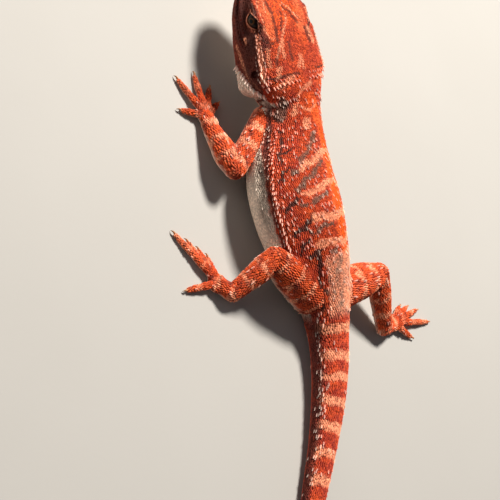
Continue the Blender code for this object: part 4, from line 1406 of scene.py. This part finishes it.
# Spines: rows as on the solids, with a second and third row beside the large ones.
# Each: count, first and last (along, degrees), first and last length, radius, lean, first and
# last whiteness of the tips
SPINE_ROWS = {
    "jaw": (9, (33, 118), (43, 121), 0.8, 1.8, 0.55, 0.65, 0.6, 1.0),
    "beard_jaw": (5, (39.0, 106), (45.0, 91), 2.2, 2.6, 0.85, 0.35, 1.25, 1.25),
    "beard": (7, (46.6, 88.5), (56.4, 82.5), 2.7, 2.3, 0.9, 0.35, 1.25, 1.25),
    "beard_low": (9, (41.0, 113), (51.5, 90), 1.4, 1.2, 0.62, 0.50, 1.1, 0.9),
    "beard_front": (9, (38.5, 126), (47.4, 108), 1.0, 1.3, 0.5, 0.60, 0.8, 0.8),
    "throat": (6, (44, 150), (47, 176), 1.2, 1.2, 0.5, 0.70, 0.6, 0.6),
    "skull_rim": (10, (53.4, 66), (53.8, 10), 2.3, 1.3, 0.66, 0.40, 0.7, 0.5),
    "skull_rim_low": (9, (51.2, 62), (51.6, 12), 1.1, 0.9, 0.52, 0.50, 0.4, 0.4),
    "temple": (15, (29, 50), (50.5, 59), 0.9, 2.2, 0.66, 0.50, 0.3, 0.8),
    "temple_up": (12, (31, 45), (50, 52), 0.7, 1.3, 0.6, 0.58, 0.3, 0.5),
    "temple_low": (8, (38, 60), (51, 66), 0.8, 1.5, 0.52, 0.55, 0.3, 0.6),
    "neck_side": (8, (64.8, 84), (71, 58), 1.6, 1.4, 0.55, 0.55, 0.35, 0.3),
    "neck_top": (7, (60.2, 32), (61.8, 62), 1.4, 1.8, 0.55, 0.50, 0.6, 0.7),
    "fringe": (31, (77, 69), (129, 76), 1.5, 2.3, 0.64, 0.45, 0.35, 0.9),
    "fringe_up": (16, (86, 63), (128, 69), 0.9, 1.3, 0.52, 0.55, 0.3, 0.7),
    "fringe_low": (22, (84, 74), (127, 80), 1.1, 1.5, 0.52, 0.50, 0.4, 0.9),
    "back_inner": (15, (82, 17), (137, 20), 0.9, 0.9, 0.55, 0.6, 0.5, 0.5),
    "back_middle": (15, (84, 29), (135, 31), 0.8, 0.9, 0.5, 0.6, 0.5, 0.5),
    "back_outer": (14, (84, 41), (134, 43), 1.0, 1.0, 0.55, 0.6, 0.5, 0.5),
    "back_side": (15, (86, 54), (132, 56), 0.9, 1.1, 0.5, 0.6, 0.4, 0.5),
    "tail_side": (14, (172, 74), (208, 74), 1.3, 0.9, 0.5, 0.70, 0.7, 0.6),
    "tail_under": (12, (174, 84), (206, 84), 0.9, 0.7, 0.45, 0.70, 0.7, 0.6),
}
SPINE_SIDES = 7
SPINE_RINGS = ((0.0, 1.0), (0.3, 0.8), (0.6, 0.5), (0.85, 0.22))
SPINE_SUNK = 0.3
SPINE_ROOT = 0.4
SPINE_EXTRA = 0.55
SPINE_BEND = 0.14


def spine_roots():
    """Every spine's root, with its length, radius and lean."""
    places, sizes = [], []
    for count, first, last, short, long, radius, lean, dull, white in SPINE_ROWS.values():
        for side in SIDES:
            share = np.linspace(0, 1, count)
            along = first[0] + (last[0] - first[0]) * share + rng.uniform(-0.35, 0.35, count)
            turn = first[1] + (last[1] - first[1]) * share + rng.uniform(-1.6, 1.6, count)
            length = (short + (long - short) * share) * rng.uniform(0.75, 1.06, count)
            places.append(place_on(0, along, np.radians(side * turn)))
            whiteness = dull + (white - dull) * share
            thickness = radius * rng.uniform(0.88, 1.1, count)
            sizes.append(np.stack([length, thickness, np.full(count, lean), whiteness], axis=1))
    return merge(places), np.vstack(sizes)


def spine_mesh(name, place, sizes):
    """Curved, pointed spines as one mesh."""
    count = len(place.along)
    length, radius, lean, _ = (column[:, None] for column in sizes.T)
    way = unit(place.normal * (1 - lean) + place.back * lean)
    side = unit(np.cross(way, place.normal + place.back * 0.01))
    up = np.cross(side, way)
    angle = np.linspace(0, 2 * math.pi, SPINE_SIDES, endpoint=False)

    def middle(share):
        straight = place.points - place.normal * SPINE_SUNK + way * (length + SPINE_EXTRA) * share
        return straight + place.back * length * SPINE_BEND * share**2

    rings = [
        middle(share) + (side * math.cos(a) + up * math.sin(a)) * radius * thick
        for share, thick in SPINE_RINGS
        for a in angle
    ]
    root = place.points - place.normal * SPINE_ROOT
    verts = np.stack([*rings, middle(1.0), root], axis=1)
    faces = []
    for ring in range(len(SPINE_RINGS) - 1):
        low = ring * SPINE_SIDES + np.arange(SPINE_SIDES)
        faces += stitch(low, low + SPINE_SIDES)
    last = (len(SPINE_RINGS) - 1) * SPINE_SIDES
    top = last + SPINE_SIDES
    for i in range(SPINE_SIDES):
        j = (i + 1) % SPINE_SIDES
        faces += [(last + i, last + j, top), (j, i, top + 1)]
    faces = np.array(faces)[None] + np.arange(count)[:, None, None] * verts.shape[1]
    each = verts.shape[1]
    share = np.array([s for s, _ in SPINE_RINGS for _ in angle] + [1.0, 0.0])
    spots = unwrap(place)[:, None] + np.stack([share, 0 * share], axis=1) * PATCH
    # Brighter towards the tip: partly the spines' own white tips and partly a painted highlight
    tints = coat_colours(place, each, 0.25 + 0.75 * share, sizes[:, 3])
    return coat_piece(name, verts, faces, spots, *tints)


# Materials, as arithmetic on the nodes' sockets


class Value:
    """A number in a shader, which can be added, multiplied and so on."""

    def __init__(self, maker, socket):
        self.maker = maker
        self.socket = socket

    def __add__(self, other):
        return self.maker.maths("ADD", self, other)

    def __sub__(self, other):
        return self.maker.maths("SUBTRACT", self, other)

    def __rsub__(self, other):
        return self.maker.maths("SUBTRACT", other, self)

    def __mul__(self, other):
        return self.maker.maths("MULTIPLY", self, other)

    __radd__ = __add__
    __rmul__ = __mul__


class Maker:
    """A material and the nodes that make it."""

    def __init__(self, name, **constants):
        self.material = bpy.data.materials.new(name)
        self.material.use_nodes = True
        self.nodes = self.material.node_tree.nodes
        self.links = self.material.node_tree.links
        self.shader = self.nodes["Principled BSDF"]
        for key, value in constants.items():
            self.shader.inputs[key.replace("_", " ")].default_value = value

    def node(self, kind, settings=None, **values):
        """A node of a type, with settings first and then values or links by socket name."""
        made = self.nodes.new(kind)
        for key, value in (settings or {}).items():
            setattr(made, key, value)
        for key, value in values.items():
            self.join(made.inputs[key.replace("_", " ")], value)
        return made

    def join(self, socket, value):
        if isinstance(value, Value):
            self.links.new(value.socket, socket)
        else:
            socket.default_value = value

    def maths(self, operation, *values, clamp=False):
        made = self.node("ShaderNodeMath", {"operation": operation, "use_clamp": clamp})
        for socket, value in zip(made.inputs, values):
            self.join(socket, value)
        return Value(self, made.outputs[0])

    def mix(self, factor, first, second):
        """A mix of two colours."""
        made = self.node("ShaderNodeMix", {"data_type": "RGBA", "clamp_factor": True})
        for number, value in ((0, factor), (6, first), (7, second)):
            plain = value if isinstance(value, Value) or number == 0 else (*value, 1.0)
            self.join(made.inputs[number], plain)
        return Value(self, made.outputs[2])

    def attribute(self, name):
        """The red, green, blue and alpha of a colour that the mesh carries."""
        made = self.node("ShaderNodeAttribute", {"attribute_name": name})
        parts = self.node("ShaderNodeSeparateColor", Color=Value(self, made.outputs["Color"]))
        values = [Value(self, parts.outputs[key]) for key in ("Red", "Green", "Blue")]
        return values + [Value(self, made.outputs["Alpha"])]

    def texture(self, kind, settings=None, **values):
        """The first output of a texture on the object's own coordinates."""
        place = self.node("ShaderNodeTexCoord")
        at = Value(self, place.outputs["Object"])
        return Value(self, self.node(kind, settings, Vector=at, **values).outputs[0])

    def noise(self, scale):
        return self.texture("ShaderNodeTexNoise", Scale=scale, Detail=3.0)

    def bump(self, height, strength, distance):
        made = self.node("ShaderNodeBump", Strength=strength, Distance=distance, Height=height)
        self.links.new(made.outputs["Normal"], self.shader.inputs["Normal"])

    def show(self, **sockets):
        for key, value in sockets.items():
            self.join(self.shader.inputs[key.replace("_", " ")], value)
        return self.material


RED = (0.42, 0.021, 0.004)
ORANGE = (0.90, 0.115, 0.008)
PALE = (1.0, 0.38, 0.21)
CREAM = (0.95, 0.79, 0.64)
GREY = (0.17, 0.115, 0.085)
MAROON = (0.07, 0.006, 0.003)
WHITE_TIP = (1.0, 0.85, 0.74)
# The skin in the gaps between scales: partly its own darker colour, partly painted shade
BETWEEN_SCALES = (0.05, 0.007, 0.004)
PUPIL = (0.003, 0.003, 0.003)
EYEBALL = (0.012, 0.005, 0.004)
COPPER = ((0.045, 0.014, 0.006), (0.17, 0.065, 0.016))
HORN = ((0.60, 0.20, 0.06), (0.28, 0.12, 0.055))  # at the root and at the tip
HORN_STREAK = (0.6, 0.35, 0.18)
FLOOR_TINTS = ((0.43, 0.42, 0.405), (0.47, 0.46, 0.445))


def hide_colour(maker):
    """The animal's colours from its marks, with fine irregularities."""
    pale, grey, dark, chance = maker.attribute("marks")
    belly, tone, tip, spiny = maker.attribute("ground")
    coarse = maker.noise(220.0)
    tone = tone + (coarse - 0.5) * 0.5 + (chance - 0.5) * 0.3
    pale = pale * (0.72 + 0.5 * chance)
    colour = maker.mix(tone, RED, ORANGE)
    colour = maker.mix(belly, colour, CREAM)
    colour = maker.mix(grey * 0.85, colour, GREY)
    # The dark marks carry painted shade as well as dark markings, and the pale marks some painted
    # highlights
    colour = maker.mix(dark * 0.97, colour, MAROON)
    colour = maker.mix(pale * 0.9, colour, PALE)
    return colour, tip, spiny, chance


def coat_material():
    maker = Maker("scales", Specular_IOR_Level=0.1)
    colour, tip, spiny, chance = hide_colour(maker)
    # Brighter and whiter towards the tips and keels, darker at the rims: a painted highlight and
    # painted shade on each scale over a random tone of its own; the white is partly the spines' own
    # white tips
    lit = maker.mix(tip * spiny * 0.8, colour, WHITE_TIP)
    shade = 0.44 + 0.46 * chance + (0.5 + 0.25 * spiny) * tip
    tinted = maker.node("ShaderNodeVectorMath", {"operation": "SCALE"}, Vector=lit, Scale=shade)
    rough = 0.46 + 0.22 * maker.noise(900.0)
    maker.bump(maker.noise(2600.0), 0.25, 0.0002)
    return maker.show(Base_Color=Value(maker, tinted.outputs[0]), Roughness=rough)


def skin_material():
    """The skin between the scales, wrinkled and darker: partly its own darker colour and partly painted
    shade in the gaps.
    """
    maker = Maker("skin", Specular_IOR_Level=0.12)
    colour = hide_colour(maker)[0]
    belly = maker.attribute("ground")[0]
    deep = maker.mix(0.75 - 0.4 * belly, colour, BETWEEN_SCALES)
    wrinkle = maker.texture("ShaderNodeTexVoronoi", {"feature": "DISTANCE_TO_EDGE"}, Scale=1400.0)
    maker.bump(wrinkle, 0.4, 0.0003)
    return maker.show(Base_Color=deep, Roughness=0.5 + 0.25 * maker.noise(700.0))


def eye_material():
    """A dark eye with a copper ring round the pupil."""
    shine = {"Coat_Weight": 1.0, "Coat_Roughness": 0.02, "Coat_IOR": 1.22}
    maker = Maker("eye", Specular_IOR_Level=0.0, **shine)
    middle, fleck = maker.attribute("iris")[:2]
    ring = maker.maths("MULTIPLY", middle - 0.90, 14.0, clamp=True)
    pupil = maker.maths("MULTIPLY", middle - 0.972, 160.0, clamp=True)
    copper = maker.mix(maker.noise(1800.0), *COPPER)
    colour = maker.mix(ring, EYEBALL, copper)
    colour = maker.mix(pupil, colour, PUPIL)
    return maker.show(Base_Color=colour, Roughness=0.3 + 0.1 * fleck)


def claw_material():
    maker = Maker("claw", Specular_IOR_Level=0.5)
    root = maker.attribute("root")[0]
    horn = maker.mix(root, *HORN)
    streak = maker.noise(1500.0)
    colour = maker.mix(0.35 * streak, horn, HORN_STREAK)
    return maker.show(Base_Color=colour, Roughness=0.3 + 0.15 * streak)


# Building and lighting


def wear(piece, material, slot, *nodes):
    """Gives a piece its material, and puts it in place of the solids it stands for; its slot is not
    used.
    """
    piece.data.materials.append(material)
    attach(piece, "root")
    if nodes:
        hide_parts(*nodes)


def build_eyes(material):
    for side, name in ((1, "left_eye"), (-1, "right_eye")):
        centre, onward, up, out = eye_frame(side)
        verts, faces = ball(centre, (EYE_RADIUS - 0.05,) * 3, (onward, up, out), rings=60, count=64)
        if side < 0:
            faces = faces[:, ::-1]
        gaze = unit(out + up * 0.36 - onward * 0.04)
        way = unit(verts - centre)
        middle = way @ gaze
        bulge = 0.12 * ease(middle, 0.90, 0.97)
        eye = mesh_object(name + "_ball", verts + way * bulge[:, None], faces)
        zero = np.zeros(len(verts))
        set_colours(eye.data, "iris", middle, ease(middle, 0.9, 0.94), zero, zero + 1)
        wear(eye, material, "eye", name)


def build_claws(material):
    for limb in LIMBS.values():
        end = limb["names"][2]
        for number, sizes in enumerate(zip(limb["headings"], limb["digits"]), 1):
            loft = claw_loft(digit_loft(limb["palm"], *sizes))
            verts, faces = loft.tube(18, 14)
            verts[:, 2] = np.maximum(verts[:, 2], CLAW_FLOOR)
            name = f"{end}_claw_{number}"
            claw = mesh_object(name + "_horn", verts, faces)
            share = np.linalg.norm(verts - verts[0], axis=1) / CLAW_LENGTH
            zero = np.zeros(len(verts))
            set_colours(claw.data, "root", ease(share, 0.1, 0.9), zero, zero, zero)
            wear(claw, material, "claw", name)


# Where each of the trunk's pieces of scales begins
PIECES_FROM = {
    "head": 0.0, "nape": 40.0, "shoulder": 66.0, "back": 98.0, "hip": 128.0, "tail": TAIL_START,
    "tail_end": 235.0,
}


def region_of(place):
    """The name of the coat's piece for each root."""
    names = np.full(len(place.along), "head_scales", dtype=object)
    trunk = KIND[place.part] == "trunk"
    for name, start in PIECES_FROM.items():
        names[trunk & (place.along >= start)] = name + "_scales"
    for number, part in enumerate(PARTS[1:], 1):
        names[place.part == number] = part["name"] + "_scales"
    return names


def slot_of(name):
    if name.startswith(("head", "nape")):
        return "head_skin"
    if name.startswith("tail"):
        return "tail_skin"
    return "limb_skin" if name.startswith(("left", "right")) else "body_skin"


def build_animal():
    verts, faces = whole_skin()
    normals = normals_of(verts, faces)
    skin = mesh_object("skin", verts, faces)
    marks, ground = colours(nearest_place(verts, normals))
    zero = np.zeros(len(verts))
    set_colours(skin.data, "marks", marks, zero + 0.5)
    set_colours(skin.data, "ground", ground, zero, zero)
    wear(skin, skin_material(), "body_skin", *FLESH)
    coat = coat_material()
    skin_tree = BVHTree.FromPolygons(verts.tolist(), faces.tolist())
    scales = all_scales(verts, faces, skin_tree)
    names = region_of(scales.place)
    for name in sorted(set(names)):
        wear(scale_mesh(name, scales.pick(names == name)), coat, slot_of(name))
    place, sizes = spine_roots()
    keep = clear_of_holes(place)
    spines = spine_mesh("spines", place.pick(keep), sizes[keep])
    wear(spines, coat, "body_skin")
    build_eyes(eye_material())
    build_claws(claw_material())


def build_floor():
    """A plain pale floor."""
    bpy.ops.mesh.primitive_grid_add(x_subdivisions=8, y_subdivisions=8, size=4.0)
    floor = bpy.context.object
    floor.name = "floor"
    maker = Maker("floor", Specular_IOR_Level=0.2)
    colour = maker.mix(maker.noise(9.0), *FLOOR_TINTS)
    maker.bump(maker.noise(350.0), 0.05, 0.0005)
    floor.data.materials.append(maker.show(Base_Color=colour, Roughness=0.7 + 0.1 * maker.noise(30.0)))
    return floor


def area_light(name, spot, size, power, colour):
    light = bpy.data.lights.new(name, "AREA")
    light.shape = "DISK"
    light.size = size
    light.energy = power
    light.color = colour
    made = bpy.data.objects.new(name, light)
    made.location = spot
    aim = Vector((0, 0, 0.01)) - made.location
    made.rotation_euler = aim.to_track_quat("-Z", "Y").to_euler()
    bpy.context.scene.collection.objects.link(made)
    return made


def build_light():
    """A soft key light from the picture's upper right and a weaker fill."""
    spot, colour = (0.24, 0.72, 1.06), (1.0, 0.94, 0.85)
    key = area_light("key", spot, size=0.28, power=35.0, colour=colour)
    spot, colour = (-0.9, 0.35, 0.45), (1.0, 0.96, 0.92)
    fill = area_light("fill", spot, size=0.8, power=1.2, colour=colour)
    world = bpy.data.worlds.new("studio")
    world.use_nodes = True
    background = world.node_tree.nodes["Background"]
    background.inputs["Color"].default_value = (0.95, 0.96, 1.0, 1.0)
    background.inputs["Strength"].default_value = 0.10
    bpy.context.scene.world = world
    bpy.context.scene.view_settings.view_transform = "Standard"
    return key, fill


def build_camera():
    """The camera at the photograph's viewing angle."""
    height, bearing, roll = (math.radians(CAMERA[key]) for key in ("height", "bearing", "roll"))
    turned = math.cos(bearing)
    toward = [-turned * math.cos(height), -math.sin(bearing), math.sin(height) * turned]
    toward = unit(np.array(toward))
    up = unit(np.array([0, 1.0, 0]) - toward * toward[1])
    right = np.cross(up, toward)
    turned_up = up * math.cos(roll) + right * math.sin(roll)
    turned_right = right * math.cos(roll) - up * math.sin(roll)
    focal = PICTURE * CAMERA["lens"] / SENSOR
    across = (ORIGIN_PIXEL[0] - PICTURE / 2) / focal * CAMERA["distance"]
    rise = (PICTURE / 2 - ORIGIN_PIXEL[1]) / focal * CAMERA["distance"]
    spot = toward * CAMERA["distance"] - turned_right * across - turned_up * rise
    data = bpy.data.cameras.new("camera")
    data.lens = CAMERA["lens"]
    data.sensor_width = SENSOR
    camera = bpy.data.objects.new("camera", data)
    columns = np.column_stack([turned_right, turned_up, toward])
    camera.matrix_world = Matrix.Translation(Vector(spot * MM)) @ Matrix(columns.tolist()).to_4x4()
    bpy.context.scene.collection.objects.link(camera)
    bpy.context.scene.camera = camera
    return camera


build_animal()
camera = build_camera()
floor = build_floor()
key, fill = build_light()
